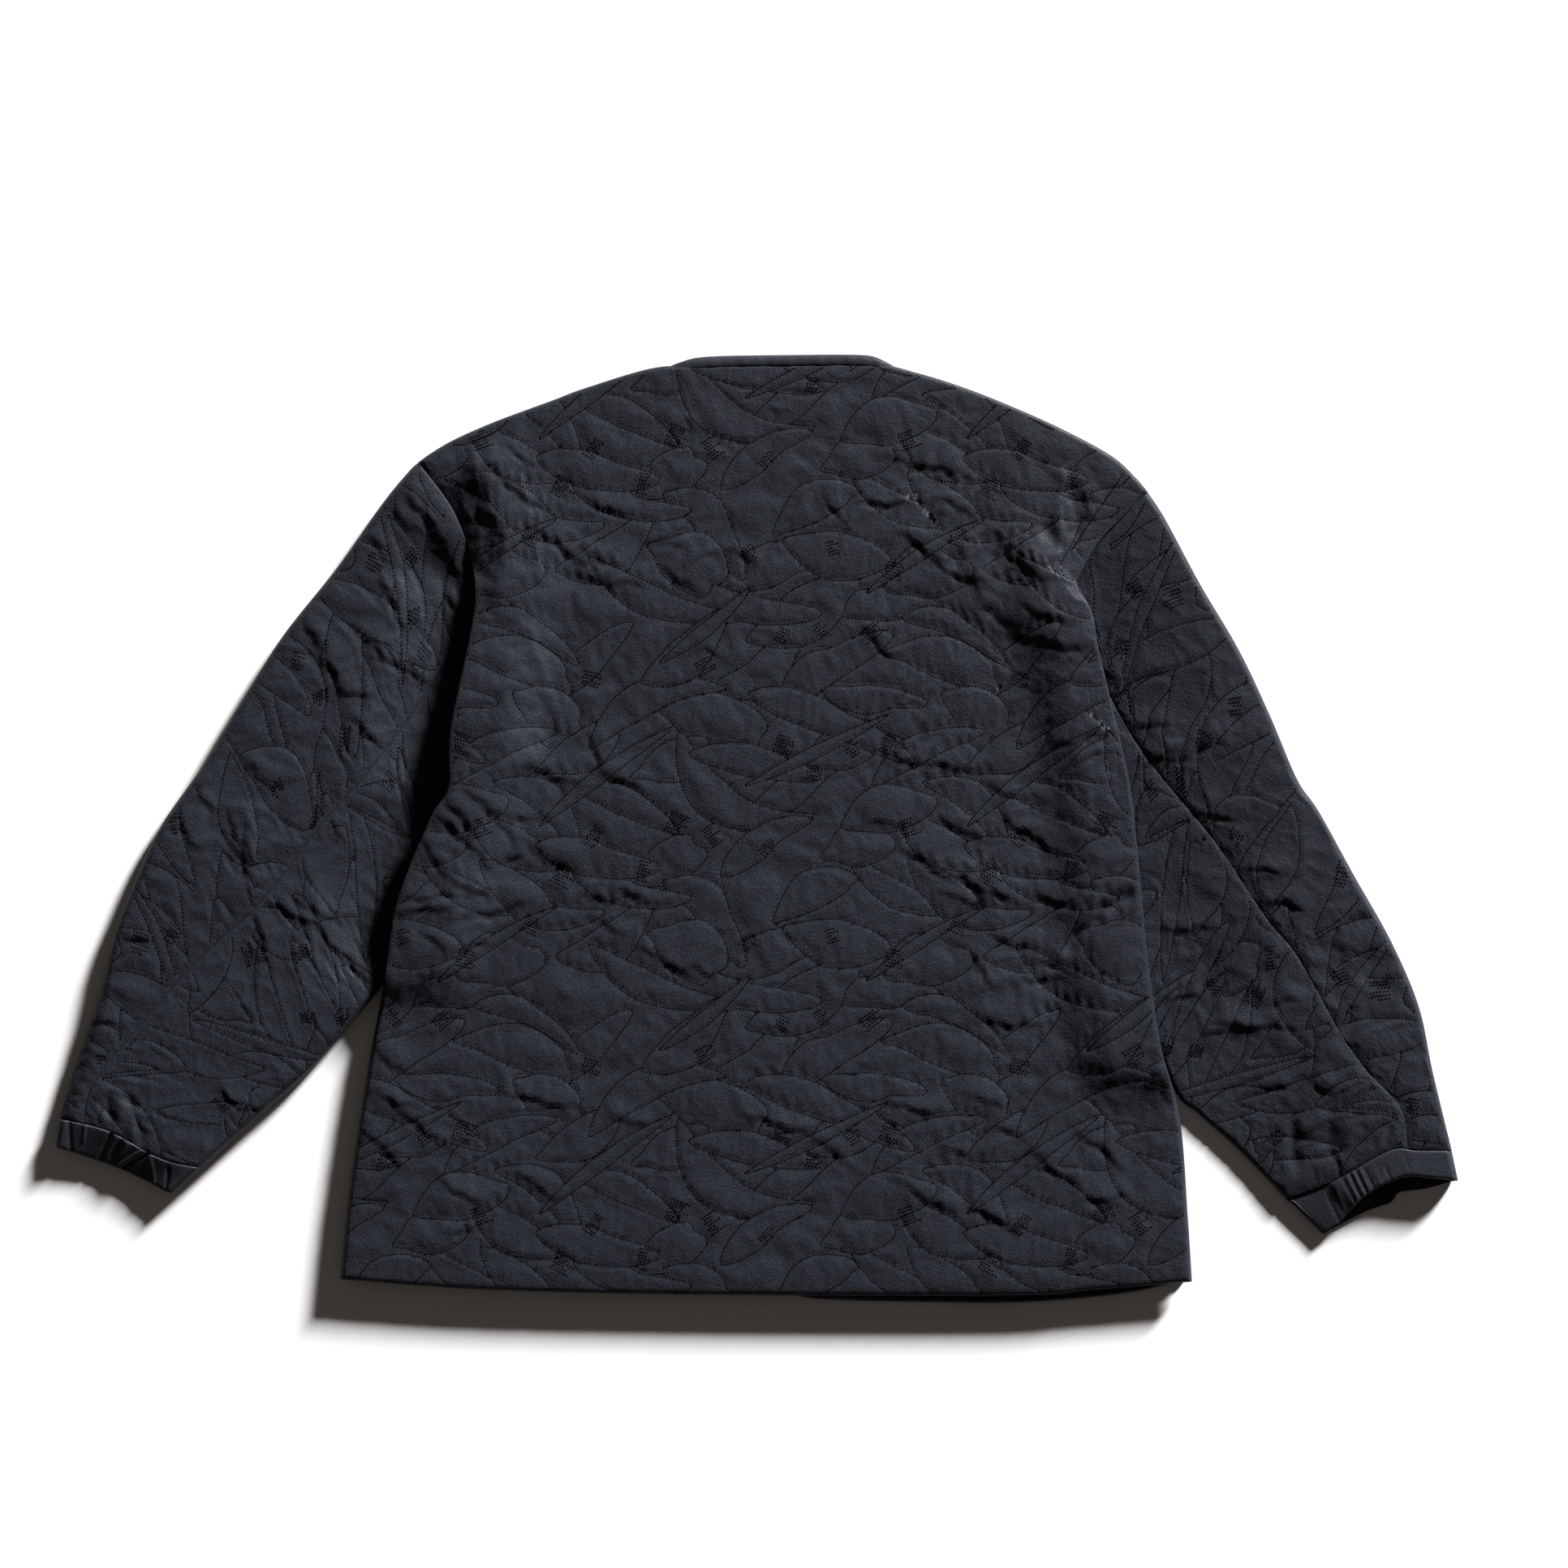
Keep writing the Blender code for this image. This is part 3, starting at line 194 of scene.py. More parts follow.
def nylon(name, colour, roughness, turn, relief):
    """Nylon whose grain is turned by an angle; relief is the depth of its crumples in metres."""
    look, nodes, links, shader = new_material(name, colour, roughness)
    shader.inputs["Specular IOR Level"].default_value = NYLON_SPECULAR
    shader.inputs["Sheen Weight"].default_value = NYLON_SHEEN
    shader.inputs["Sheen Roughness"].default_value = SHEEN_ROUGHNESS
    shader.inputs["Sheen Tint"].default_value = (*SHEEN_TINT, 1)
    place = nodes.new("ShaderNodeTexCoord")
    cloth = nodes.new("ShaderNodeGroup")
    cloth.node_tree = woven_crumple
    cloth.inputs["Turn"].default_value = turn
    links.new(place.outputs["Object"], cloth.inputs["Vector"])

    def shaded(low, high):
        ramp = nodes.new("ShaderNodeMapRange")
        ramp.inputs["From Min"].default_value, ramp.inputs["From Max"].default_value = SHADE_FROM
        ramp.inputs["To Min"].default_value, ramp.inputs["To Max"].default_value = low, high
        links.new(cloth.outputs["Shade"], ramp.inputs["Value"])
        return ramp.outputs["Result"]

    shade = shaded(*SHADE_TO)
    tint = nodes.new("ShaderNodeVectorMath")
    tint.operation = "SCALE"
    tint.inputs[0].default_value = colour
    links.new(shade, tint.inputs["Scale"])
    links.new(tint.outputs["Vector"], shader.inputs["Base Color"])
    links.new(shaded(GLOSS_TO[0] * roughness, GLOSS_TO[1] * roughness), shader.inputs["Roughness"])
    add_bump(nodes, links, shader, cloth.outputs["Height"], relief)
    return look


# --------------------------------------------------------------- the quilting
# Cloth, padding and backing are stitched together along the outlines of leaves and long
# ribbons, laid over one another on a repeat.  A covered stretch of an outline isn't sewn.
REPEAT = np.array([0.320, 0.290])
LEAF_COLUMNS, LEAF_ROWS, RIBBONS = 5, 8, 4
LEAF_LONG, LEAF_WIDE = (0.070, 0.115), (0.021, 0.038)
RIBBON_LONG, RIBBON_WIDE = (0.085, 0.125), (0.0085, 0.0115)
RISING_DEG, FALLING_DEG = (14, 40), (-42, -8)
RISING_SHARE = 0.35
LEAF_JITTER = 0.28                       # of the space that a leaf has in its row
LEAF_BEND, RIBBON_BEND, LEAF_LOBE = (-9, 9), (-1.5, 1.5), (0.05, 0.3)
POINTED = 1.45                           # 1 is a diamond, 2 an ellipse
OUTLINE_STEP, LEAST_RUN = 0.0005, 8      # between an outline's points, and the fewest that are sewn
REPEAT_MARGIN = 0.1                      # of the repeat, kept beyond it when lines are looked up
HOLD_SHARE, LEAST_GAP_SHARE = 0.46, 0.30  # of the spacing of the cloth's points
GROOVE, GROOVE_REACH = 0.0005, 0.0010    # the narrow dip that the thread pulls
SWELL, SWELL_REACH = 0.0004, 0.0120      # the padding's rise beyond it
PUCKER, PUCKER_EVERY = 0.0008, 0.0095    # short puckers in gathered places,
PUCKER_AT, PUCKER_REACH = 0.0035, 0.0028  # and how far above the thread they lie
Leaf = namedtuple("Leaf", "x y long wide turn bend lobe phase")


def scattered_leaves():
    """The repeat's leaves and ribbons, the lowest first: most leaves fall to the right, others rise."""
    chance = np.random.default_rng(8)
    leaves = []
    for row in range(LEAF_ROWS):
        for column in range(LEAF_COLUMNS):
            x = column + 0.5 * (row % 2) + 0.5 + chance.uniform(-LEAF_JITTER, LEAF_JITTER)
            y = row + 0.5 + chance.uniform(-LEAF_JITTER, LEAF_JITTER)
            x, y = x * REPEAT[0] / LEAF_COLUMNS, y * REPEAT[1] / LEAF_ROWS
            turn = chance.uniform(*(RISING_DEG if chance.random() < RISING_SHARE else FALLING_DEG))
            leaves.append(Leaf(x, y, chance.uniform(*LEAF_LONG), chance.uniform(*LEAF_WIDE),
                               math.radians(turn), chance.uniform(*LEAF_BEND),
                               chance.uniform(*LEAF_LOBE), chance.uniform(0, 6.28)))
    leaves = [leaves[k] for k in chance.permutation(len(leaves))]
    for k in range(RIBBONS):
        x, y = (k + 0.5) / RIBBONS * REPEAT[0], (2 * k % RIBBONS + chance.random()) / RIBBONS * REPEAT[1]
        leaves.append(Leaf(x, y, chance.uniform(*RIBBON_LONG), chance.uniform(*RIBBON_WIDE),
                           math.radians(chance.uniform(*RISING_DEG)), chance.uniform(*RIBBON_BEND), 0, 0))
    return leaves


def leaf_radius(angle, leaf):
    """A leaf's reach at an angle, before it is stretched to its length and width."""
    round_one = (np.abs(np.cos(angle)) ** POINTED + np.abs(np.sin(angle)) ** POINTED) ** (-1 / POINTED)
    lobes = np.sin(2 * angle + leaf.phase) + 0.6 * np.sin(3 * angle + leaf.phase)
    return round_one * (1 + leaf.lobe * lobes + 0.12 * np.cos(angle))


def leaf_outline(leaf):
    angle = np.linspace(0, 2 * np.pi, int(2.2 * leaf.long / OUTLINE_STEP))
    radius = leaf_radius(angle, leaf)
    along = radius * np.cos(angle) * leaf.long / 2
    aside = radius * np.sin(angle) * leaf.wide / 2 + leaf.bend * along**2
    c, s = math.cos(leaf.turn), math.sin(leaf.turn)
    return np.stack([leaf.x + c * along - s * aside, leaf.y + s * along + c * aside], -1)


def inside_leaf(points, leaf):
    away = (points - (leaf.x, leaf.y) + REPEAT / 2) % REPEAT - REPEAT / 2
    c, s = math.cos(leaf.turn), math.sin(leaf.turn)
    along = c * away[:, 0] + s * away[:, 1]
    aside = (c * away[:, 1] - s * away[:, 0] - leaf.bend * along**2) / (leaf.wide / 2)
    along = along / (leaf.long / 2)
    return np.hypot(along, aside) < leaf_radius(np.arctan2(aside, along), leaf)


def sewn_lines(leaves):
    """The stretches of the leaves' outlines that no later leaf covers."""
    lines = []
    for k, leaf in enumerate(leaves):
        outline = leaf_outline(leaf)
        seen = np.ones(len(outline), bool)
        for later in leaves[k + 1:]:
            seen &= ~inside_leaf(outline, later)
        ends = np.flatnonzero(np.diff(seen.astype(int))) + 1
        for start, end in zip([0, *ends], [*ends, len(outline)]):
            if seen[start] and end - start > LEAST_RUN:
                lines.append(outline[start:end])
    return lines


leaves = scattered_leaves()
quilt_lines = sewn_lines(leaves)
line_points = np.vstack([np.vstack(quilt_lines) + REPEAT * (column, row)
                         for column in (-1, 0, 1) for row in (-1, 0, 1)])
near_repeat = (line_points > -REPEAT_MARGIN * REPEAT) & (line_points < (1 + REPEAT_MARGIN) * REPEAT)
line_points = line_points[near_repeat.all(1)]
line_tree = KDTree(len(line_points))
for number, (x, y) in enumerate(line_points.tolist()):
    line_tree.insert((x, y, 0), number)
line_tree.balance()


def nearest_lines(across, along):
    """The way from each point of the cloth to the nearest stitch line, and its distance."""
    wrapped = np.stack([across.ravel(), along.ravel()], -1) % REPEAT
    nearest = np.array([line_tree.find((x, y, 0))[0][:2] for x, y in wrapped.tolist()])
    ways = (nearest - wrapped).reshape(*across.shape, 2)
    return ways, np.hypot(ways[..., 0], ways[..., 1])


def puff(distance):
    """The padding's rise, at a distance from the thread."""
    return GROOVE * (1 - np.exp(-distance / GROOVE_REACH)) + SWELL * (1 - np.exp(-distance / SWELL_REACH))


def puckers(x, y, away, above, spare):
    """Short puckers that stand on the stitch line below them, where the cloth is gathered."""
    # The two slow waves keep the puckers from standing at even steps.
    turns = 2 * np.pi * x / PUCKER_EVERY + 3 * np.sin(41 * y) + 2.5 * np.sin(67 * x + 23 * y)
    near = np.exp(-((away - PUCKER_AT) / PUCKER_REACH) ** 2)
    return PUCKER * spare * above * near * (np.sin(turns) - 0.3)


def drawn_to_lines(across, along, spacing):
    """Moves the cloth's points that lie beside a stitch line onto it.

    With their places come which of them the thread holds, how far the others lie from it,
    and how squarely above it."""
    ways, distance = nearest_lines(across, along)
    above = np.clip(-ways[..., 1] / np.maximum(distance, 1e-6), 0, 1)
    held = distance < HOLD_SHARE * spacing
    place, moved = np.stack([across, along], -1), held[..., None] * ways
    for axis in (0, 1):
        gap = np.diff(place + moved, axis=axis)
        close = np.hypot(gap[..., 0], gap[..., 1]) < LEAST_GAP_SHARE * spacing
        before, after = [(0, 0), (0, 0)], [(0, 0), (0, 0)]
        before[axis], after[axis] = (1, 0), (0, 1)
        moved[np.pad(close, before) | np.pad(close, after)] = 0
    place = place + moved
    return place[..., 0], place[..., 1], held, np.where(held, 0, distance), above


# ------------------------------------------------------------ cutting the cloth
# Each panel is cut along smooth curves through a few marks, and laid between them.
SAMPLES, STRETCH_SAMPLES = 24, 240       # points between two marks, and on a part of a curve


def smooth_line(points):
    """Points along a smooth curve through the given marks."""
    p = np.array(points, float)
    t = np.linspace(0, 1, SAMPLES, endpoint=False)[:, None]
    runs = []
    for i in range(len(p) - 1):
        a, b, c, d = p[max(i - 1, 0)], p[i], p[i + 1], p[min(i + 2, len(p) - 1)]
        runs.append(0.5 * (2 * b + (c - a) * t + (2 * a - 5 * b + 4 * c - d) * t**2
                           + (3 * b - a - 3 * c + d) * t**3))
    return np.vstack(runs + [p[-1:]])


def joined(*lines):
    return np.vstack([line if i == 0 else line[1:] for i, line in enumerate(lines)])


def shares(line):
    steps = np.hypot(*np.diff(line, axis=0).T)
    total = np.concatenate([[0], np.cumsum(steps)])
    return total / total[-1], total[-1]


def read(line, t):
    share, _ = shares(line)
    return np.stack([np.interp(t, share, line[:, 0]), np.interp(t, share, line[:, 1])], -1)


def stretch(line, start, end):
    return read(line, np.linspace(start, end, STRETCH_SAMPLES))


def share_near(line, point):
    share, _ = shares(line)
    return share[np.argmin(np.hypot(*(line - np.array(point)).T))]


def patch(left, right, bottom, top, u, v):
    """Points of the flat panel spanned by four curves, at shares u and v."""
    corner = [bottom[0], bottom[-1], top[0], top[-1]]
    a, b = u[..., None], v[..., None]
    return ((1 - a) * read(left, v) + a * read(right, v) + (1 - b) * read(bottom, u) + b * read(top, u)
            - (1 - a) * (1 - b) * corner[0] - a * (1 - b) * corner[1]
            - (1 - a) * b * corner[2] - a * b * corner[3])


def to_edge(u, v, width, height):
    """Distance to a panel's nearest edge."""
    return np.minimum(np.minimum(u, 1 - u) * width, np.minimum(v, 1 - v) * height)


def ease(x):
    x = np.clip(x, 0, 1)
    return x * x * (3 - 2 * x)


def bulge(distance, radius):
    """0 at an edge, 1 from the radius inwards, round in between."""
    return np.sqrt(1 - (1 - np.clip(distance / radius, 0, 1)) ** 2)


def even_stops(length, step, edge_stops=()):
    """Shares of a length: the stops near both ends, then even steps of about the given size."""
    near = [0.0] + [stop / length for stop in edge_stops]
    count = max(2, round((1 - 2 * near[-1]) * length / step))
    middle = list(np.linspace(near[-1], 1 - near[-1], count + 1))
    return np.array(near[:-1] + middle + [1 - stop for stop in reversed(near[:-1])])


def numbered(points):
    """The number of each point of a grid."""
    return np.arange(points.shape[0] * points.shape[1]).reshape(points.shape[:2])


def corners_of(grid):
    """What a grid holds at the four corners of each of its squares."""
    return np.stack([grid[:-1, :-1], grid[:-1, 1:], grid[1:, 1:], grid[1:, :-1]], -1).reshape(-1, 4)


def grid_faces(ids, held=None):
    """Squares between the points; beside a stitch line, two triangles whose shared edge keeps it sharp."""
    squares = corners_of(ids)
    if held is None:
        return squares.tolist()
    a, b, c, d = corners_of(held).T
    rising = (a & c & ~b & ~d) | (b & d & (a ^ c))
    falling = (b & d & ~a & ~c) | (a & c & (b ^ d))
    split = np.vstack([squares[rising], np.roll(squares[falling], -1, 1)])
    plain = squares[~(rising | falling)].tolist()
    return plain + split[:, [0, 1, 2]].tolist() + split[:, [0, 2, 3]].tolist()


def rim_faces(outer, inner, picks):
    """Triangles between a run of outer points and its coarser run of inner points."""
    faces = []
    for k in range(len(picks) - 1):
        start, end = picks[k], picks[k + 1]
        middle = (start + end) // 2
        faces += [(outer[i], outer[i + 1], inner[k]) for i in range(start, middle)]
        faces += [(outer[i], outer[i + 1], inner[k + 1]) for i in range(middle, end)]
        faces.append((outer[middle], inner[k + 1], inner[k]))
    return [tuple(int(i) for i in face) for face in faces]


def made_piece(name, points, faces, look):
    """A smooth mesh whose faces all look outwards, with its material."""
    mesh = bpy.data.meshes.new(name)
    mesh.from_pydata(points.tolist(), [], faces)
    form = bmesh.new()
    form.from_mesh(mesh)
    bmesh.ops.recalc_face_normals(form, faces=form.faces)
    form.to_mesh(mesh)
    form.free()
    mesh.shade_smooth()
    mesh.materials.append(look)
    return placed(name, mesh)


def picked(count, stride):
    """Every so-many-th of a count of rows, with the first and the last."""
    picks = list(range(0, count - 1, stride))
    if count - 1 - picks[-1] < stride / 2 and len(picks) > 1:
        picks.pop()
    return picks + [count - 1]


def walled(name, outer, inner, rows, cols, look, held=None):
    """A closed wall of cloth: the inside has a point for each picked row and column of the outside."""
    outer_ids = numbered(outer)
    inner_ids = numbered(inner) + outer_ids.size
    faces = grid_faces(outer_ids, held) + grid_faces(inner_ids)
    faces += rim_faces(outer_ids[0], inner_ids[0], cols) + rim_faces(outer_ids[-1], inner_ids[-1], cols)
    faces += rim_faces(outer_ids[:, 0], inner_ids[:, 0], rows)
    faces += rim_faces(outer_ids[:, -1], inner_ids[:, -1], rows)
    return made_piece(name, np.vstack([outer.reshape(-1, 3), inner.reshape(-1, 3)]), faces, look)


# ------------------------------------------------------------ folds and puckers
# The cloth is a little larger than its padding: it lies in soft folds, and where it is
# pushed together, at the shoulders, waist and elbows, the spare cloth puckers sharply.
# A fold runs from one end to the other, in millimetres.  Its bow moves its middle to the left,
# and the usual lean makes its right-hand side steep, as where cloth is pushed over itself.
Fold = namedtuple("Fold", "x0 y0 x1 y1 width rise bow lean", defaults=(0, 0.6))
MM = 0.001
WAVER, WAVER_LENGTH = 0.0010, 0.031
# The crease along a leaning fold's foot: its depth, its least width, and its place and
# width as shares of the steep side's width.
CREASE, CREASE_LEAST = 0.0010, 0.0015
CREASE_AT, CREASE_WIDTH = 1.5, 0.40
Gather = namedtuple("Gather", "x y reach")
SETTLE_FRAMES = 14
PAD_PRESSURE = 0.9
SPARE_PLAIN, SPARE_GATHERED = -0.004, -0.070  # less than nothing: the cloth is larger by so much
SPARE_STEPS = 10
SWELL_LIMIT, SINK_LIMIT = 0.0017, 0.0011  # how far a point may be moved out and in


def fold_rise(x, y, folds):
    """Height of the folds: each is a soft bar that tapers at both ends, bows and wavers."""
    rise = np.zeros_like(x)
    for fold in folds:
        x0, y0, width, bow = fold.x0 * MM, fold.y0 * MM, fold.width * MM, fold.bow * MM
        run = math.hypot(fold.x1 - fold.x0, fold.y1 - fold.y0) * MM
        dx, dy = (fold.x1 * MM - x0) / run, (fold.y1 * MM - y0) / run
        along = (x - x0) * dx + (y - y0) * dy
        share = np.clip(along / run, 0, 1)
        turns = 2 * np.pi * along / WAVER_LENGTH
        waver = WAVER * (np.sin(turns + fold.x0) + 0.5 * np.sin(2.3 * turns + fold.y0))
        across = (y - y0) * dx - (x - x0) * dy - 4 * bow * share * (1 - share) - waver
        reach = width * np.where(across < 0, 1 - fold.lean, 1 + fold.lean)
        taper = ease((along + width) / (2 * width)) * ease((run + width - along) / (2 * width))
        steep = width * (1 - fold.lean)
        foot = np.exp(-((across + CREASE_AT * steep) / max(CREASE_WIDTH * steep, CREASE_LEAST)) ** 2)
        crease = CREASE * (fold.lean > 0) * ease(along / run * 2) * ease((1 - along / run) * 2)
        crease *= 0.6 + 0.4 * np.sin(1.7 * turns + fold.y1)
        rise += fold.rise * MM * taper * np.exp(-(across / reach) ** 2) - crease * foot
    return rise


def spare_cloth(x, y, gathers):
    """0 where the cloth lies smooth, 1 in the middle of a gathered place."""
    spare = np.zeros_like(x)
    for place in gathers:
        away = np.hypot(x - place.x, y - place.y) / place.reach
        spare = np.maximum(spare, 1 - ease(away))
    return spare


def settle(points, held, spare):
    """Cloth simulation: the padding presses the cloth out between the stitch lines that hold it."""
    ids = numbered(held)
    mesh = bpy.data.meshes.new("settling")
    mesh.from_pydata(points.reshape(-1, 3).tolist(), [], grid_faces(ids, held))
    sheet = placed("settling", mesh)
    stitched, loose = sheet.vertex_groups.new(name="stitched"), sheet.vertex_groups.new(name="loose")
    stitched.add(ids[held].tolist(), 1.0, "REPLACE")
    steps = np.round(spare.ravel() * SPARE_STEPS).astype(int)
    for step in range(SPARE_STEPS + 1):
        loose.add(np.nonzero(steps == step)[0].tolist(), step / SPARE_STEPS, "REPLACE")
    cloth = sheet.modifiers.new("cloth", "CLOTH")
    cloth.settings.quality = 4
    cloth.settings.mass = 0.15
    cloth.settings.tension_stiffness = cloth.settings.compression_stiffness = 15
    cloth.settings.shear_stiffness = 5
    cloth.settings.bending_stiffness = 0.1
    cloth.settings.air_damping = 2
    cloth.settings.vertex_group_mass = "stitched"
    cloth.settings.vertex_group_shrink = "loose"
    cloth.settings.shrink_min, cloth.settings.shrink_max = SPARE_PLAIN, SPARE_GATHERED
    cloth.settings.use_pressure = True
    cloth.settings.uniform_pressure_force = PAD_PRESSURE
    cloth.settings.effector_weights.gravity = 0
    cloth.collision_settings.use_collision = cloth.collision_settings.use_self_collision = False
    cloth.point_cache.frame_start, cloth.point_cache.frame_end = 1, SETTLE_FRAMES
    for step in range(1, SETTLE_FRAMES + 1):
        bpy.context.scene.frame_set(step)
    settled = sheet.evaluated_get(bpy.context.evaluated_depsgraph_get()).to_mesh()
    place = np.empty(held.size * 3)
    settled.vertices.foreach_get("co", place)
    bpy.data.objects.remove(sheet, do_unlink=True)
    bpy.data.meshes.remove(mesh)
    bpy.context.scene.frame_set(1)
    shift = place.reshape(points.shape) - points
    size = np.linalg.norm(shift, axis=-1, keepdims=True)
    limit = np.where(shift[..., 2:] > 0, SWELL_LIMIT, SINK_LIMIT)
    shift *= limit * np.tanh(size / limit) / np.maximum(size, 1e-9)
    return points + shift


# ------------------------------------------------------------------- stitching
# Every stitch is a short run of dark polyester thread that sinks into the cloth at both
# ends.  Its bar is drawn much wider than the thread: the extra width is painted shade of
# the dimple that the thread pulls.  The rows follow the quilting's lines, and leaf tips are darned over in
# short rows.
STITCH_PITCH, STITCH_LENGTH = 0.00235, 0.00175
# the width is the thread's own and, beyond it, painted shade of the dimple beside it
STITCH_AND_DIMPLE_SHADE_WIDTH, STITCH_RISE, STITCH_SINK = 0.00140, 0.00035, 0.00015
STITCH_BODY = 0.20       # where a stitch has its full width, as a share of its length
EDGE_MARGIN = 0.0035
DARN_EVERY, DARN_PITCH = 2, 0.0024
DARN_AT, DARN_SHIFT = 0.46, 0.4          # of a leaf's length from its middle, and of a stitch
THREAD_COLOUR, THREAD_ROUGHNESS, THREAD_SPECULAR = (0.0010, 0.0010, 0.0013), 0.9, 0.05
PLY_SCALE, PLY_DEPTH, PLY_GLOSS = 1400, 0.00008, (0.80, 0.95)
RAY_START = 1.0                          # well above the cloth
thread_look, nodes, links, shader = new_material("sewing_thread", THREAD_COLOUR, THREAD_ROUGHNESS)
shader.inputs["Specular IOR Level"].default_value = THREAD_SPECULAR
ply = nodes.new("ShaderNodeTexWave")
ply.bands_direction = "DIAGONAL"
ply.inputs["Scale"].default_value = PLY_SCALE
add_bump(nodes, links, shader, ply.outputs["Fac"], PLY_DEPTH)
ply_shade = nodes.new("ShaderNodeMapRange")
ply_shade.inputs["To Min"].default_value, ply_shade.inputs["To Max"].default_value = PLY_GLOSS
links.new(ply.outputs["Fac"], ply_shade.inputs["Value"])
links.new(ply_shade.outputs["Result"], shader.inputs["Roughness"])


def stitches_along(line, pitch=STITCH_PITCH):
    """Start and end of each stitch on a line."""
    length = shares(line)[1]
    count = int(length / pitch)
    if count < 1:
        return np.zeros((0, 2, 2))
    starts = (np.arange(count) + 0.5) * pitch / length
    reach = STITCH_LENGTH / 2 / length
    return np.stack([read(line, starts - reach), read(line, starts + reach)], 1)


def darned(leaf, rows, stitches):
    """Short rows of stitches across a leaf's tip."""
    way = np.array([math.cos(leaf.turn), math.sin(leaf.turn)])
    aside = np.array([-way[1], way[0]])
    tip = np.array([leaf.x, leaf.y]) + way * leaf.long * DARN_AT
    found = []
    for k in range(rows):
        start = tip + aside * (k - rows / 2) * DARN_PITCH + way * (k % 2) * DARN_SHIFT * STITCH_PITCH
        found.append(stitches_along(np.array([start, start + way * (stitches - k % 3) * STITCH_PITCH])))
    return found


repeat_stitches = [stitches_along(line) for line in quilt_lines]
for k, leaf in enumerate(leaves[:-RIBBONS:DARN_EVERY]):
    repeat_stitches += darned(leaf, 5 + k % 3, 5 + k % 2 * 2)
repeat_stitches = np.vstack(repeat_stitches)


def quilting_stitches(low, high):
    """All stitches of the quilting between two corners of the cloth."""
    first, last = np.floor(np.array(low) / REPEAT) - 1, np.ceil(np.array(high) / REPEAT) + 1
    found = [repeat_stitches + REPEAT * (column, row)
             for column in np.arange(first[0], last[0]) for row in np.arange(first[1], last[1])]
    found = np.vstack(found)
    middle = found.mean(1)
    return found[(middle > low).all(1) & (middle < high).all(1)]


def sewn(name, stitches, surface):
    """One mesh of all stitches: each is a low three-sided bar on the cloth's surface below it."""
    corners, faces = [], []
    for start, end in stitches:
        hits = [surface.ray_cast(Vector((*p, RAY_START)), Vector((0, 0, -1)))[:2] for p in (start, end)]
        if hits[0][0] is None or hits[1][0] is None:
            continue
        a, b = hits[0][0], hits[1][0]
        if abs(a.z - b.z) > STITCH_LENGTH:
            continue
        up = (hits[0][1] + hits[1][1]).normalized()
        up = up if up.z > 0 else -up
        # the bar's width holds the thread and, beyond it, painted shade of its dimple
        side = (b - a).cross(up).normalized() * STITCH_AND_DIMPLE_SHADE_WIDTH / 2
        base = len(corners)
        corners += [a - up * STITCH_SINK, b - up * STITCH_SINK]
        for share in (STITCH_BODY, 1 - STITCH_BODY):
            middle = a.lerp(b, share)
            corners += [middle + side, middle + up * STITCH_RISE, middle - side]
        for k, after in ((2, 3), (3, 4), (4, 2)):
            faces.append((base, base + after, base + k))
            faces.append((base + k, base + after, base + after + 3, base + k + 3))
            faces.append((base + 1, base + k + 3, base + after + 3))
    return made_piece(name, np.array(corners), faces, thread_look)


# -------------------------------------------------------------------- the back
# One quilted panel from hem to neck.  It closes down on the fronts at the hem and at the
# shoulders, and between them its side edges lie on the sleeves' inner parts.
SPACING = 0.0022         # between the cloth's points
WALL = 0.0055            # padded cloth, between its stitch lines
LAYER_GAP = 0.0035       # air between the upper and the lower layer
SEAM_GAP = 0.0001
SEAM_DIP, SEAM_REACH = 0.0006, 0.0024
QUILT_FADE = 0.0060      # how far from an edge the quilting and the folds reach their full height
LIFT, LIFT_BAND, LIFT_FADE = 0.0062, 0.038, 0.045
SIDE_ROUND, TOP_ROUND = 0.0042, 0.0028
LYING_DROP = 0.0006       # how far an edge that lies on a sleeve is rounded down
OPEN_ROUND, OPEN_DROP = 0.0042, 0.45      # an open edge's rounding, and its drop in walls
RIM_INSET, HEM_INSET, SHOULDER_INSET = 0.0035, 0.0015, 0.0025
INNER_STRIDE = 6                          # points of the outside for each point of the inside
RIM_FOOT = 0.0022        # lowest point of a turned-down edge above the layer beneath
ARMHOLE_LEFT = ((-0.2533, 0.2736), (-0.2390, 0.2560), (-0.2262, 0.2370), (-0.2172, 0.2150),
                (-0.2118, 0.1940))
ARMHOLE_RIGHT = ((0.2942, 0.2512), (0.2735, 0.2312), (0.2549, 0.2109), (0.2392, 0.1824))
SIDE_LEFT = ((-0.3114, -0.3384), (-0.3041, -0.2674), (-0.2889, -0.1703), (-0.2768, -0.1096),
             (-0.2677, -0.0549), (-0.2434, 0.0058), (-0.2294, 0.0300), (-0.2276, 0.0725),
             (-0.2131, 0.1454), (-0.2096, 0.1740), (-0.2118, 0.1940))
SIDE_RIGHT = ((0.3272, -0.3402), (0.3241, -0.2916), (0.3181, -0.2188), (0.3029, -0.1642),
              (0.2926, -0.0974), (0.2859, -0.0246), (0.2786, 0.0361), (0.2634, 0.1029), (0.2556, 0.1363),
              (0.2513, 0.1606), (0.2392, 0.1824))
HEM = ((-0.3114, -0.3384), (-0.2009, -0.3463), (-0.0370, -0.3500), (0.1936, -0.3505), (0.2543, -0.3463),
       (0.3272, -0.3402))
SHOULDERS = ((-0.2533, 0.2736), (-0.2434, 0.2808), (-0.2252, 0.2913), (-0.1948, 0.3046),
             (-0.1531, 0.3200), (-0.1281, 0.3294), (-0.0795, 0.3440), (-0.0480, 0.3462),
             (0.0200, 0.3472), (0.0880, 0.3474), (0.1208, 0.3409), (0.1572, 0.3294), (0.1936, 0.3150),
             (0.2301, 0.2985), (0.2665, 0.2788), (0.2847, 0.2624), (0.2942, 0.2512))
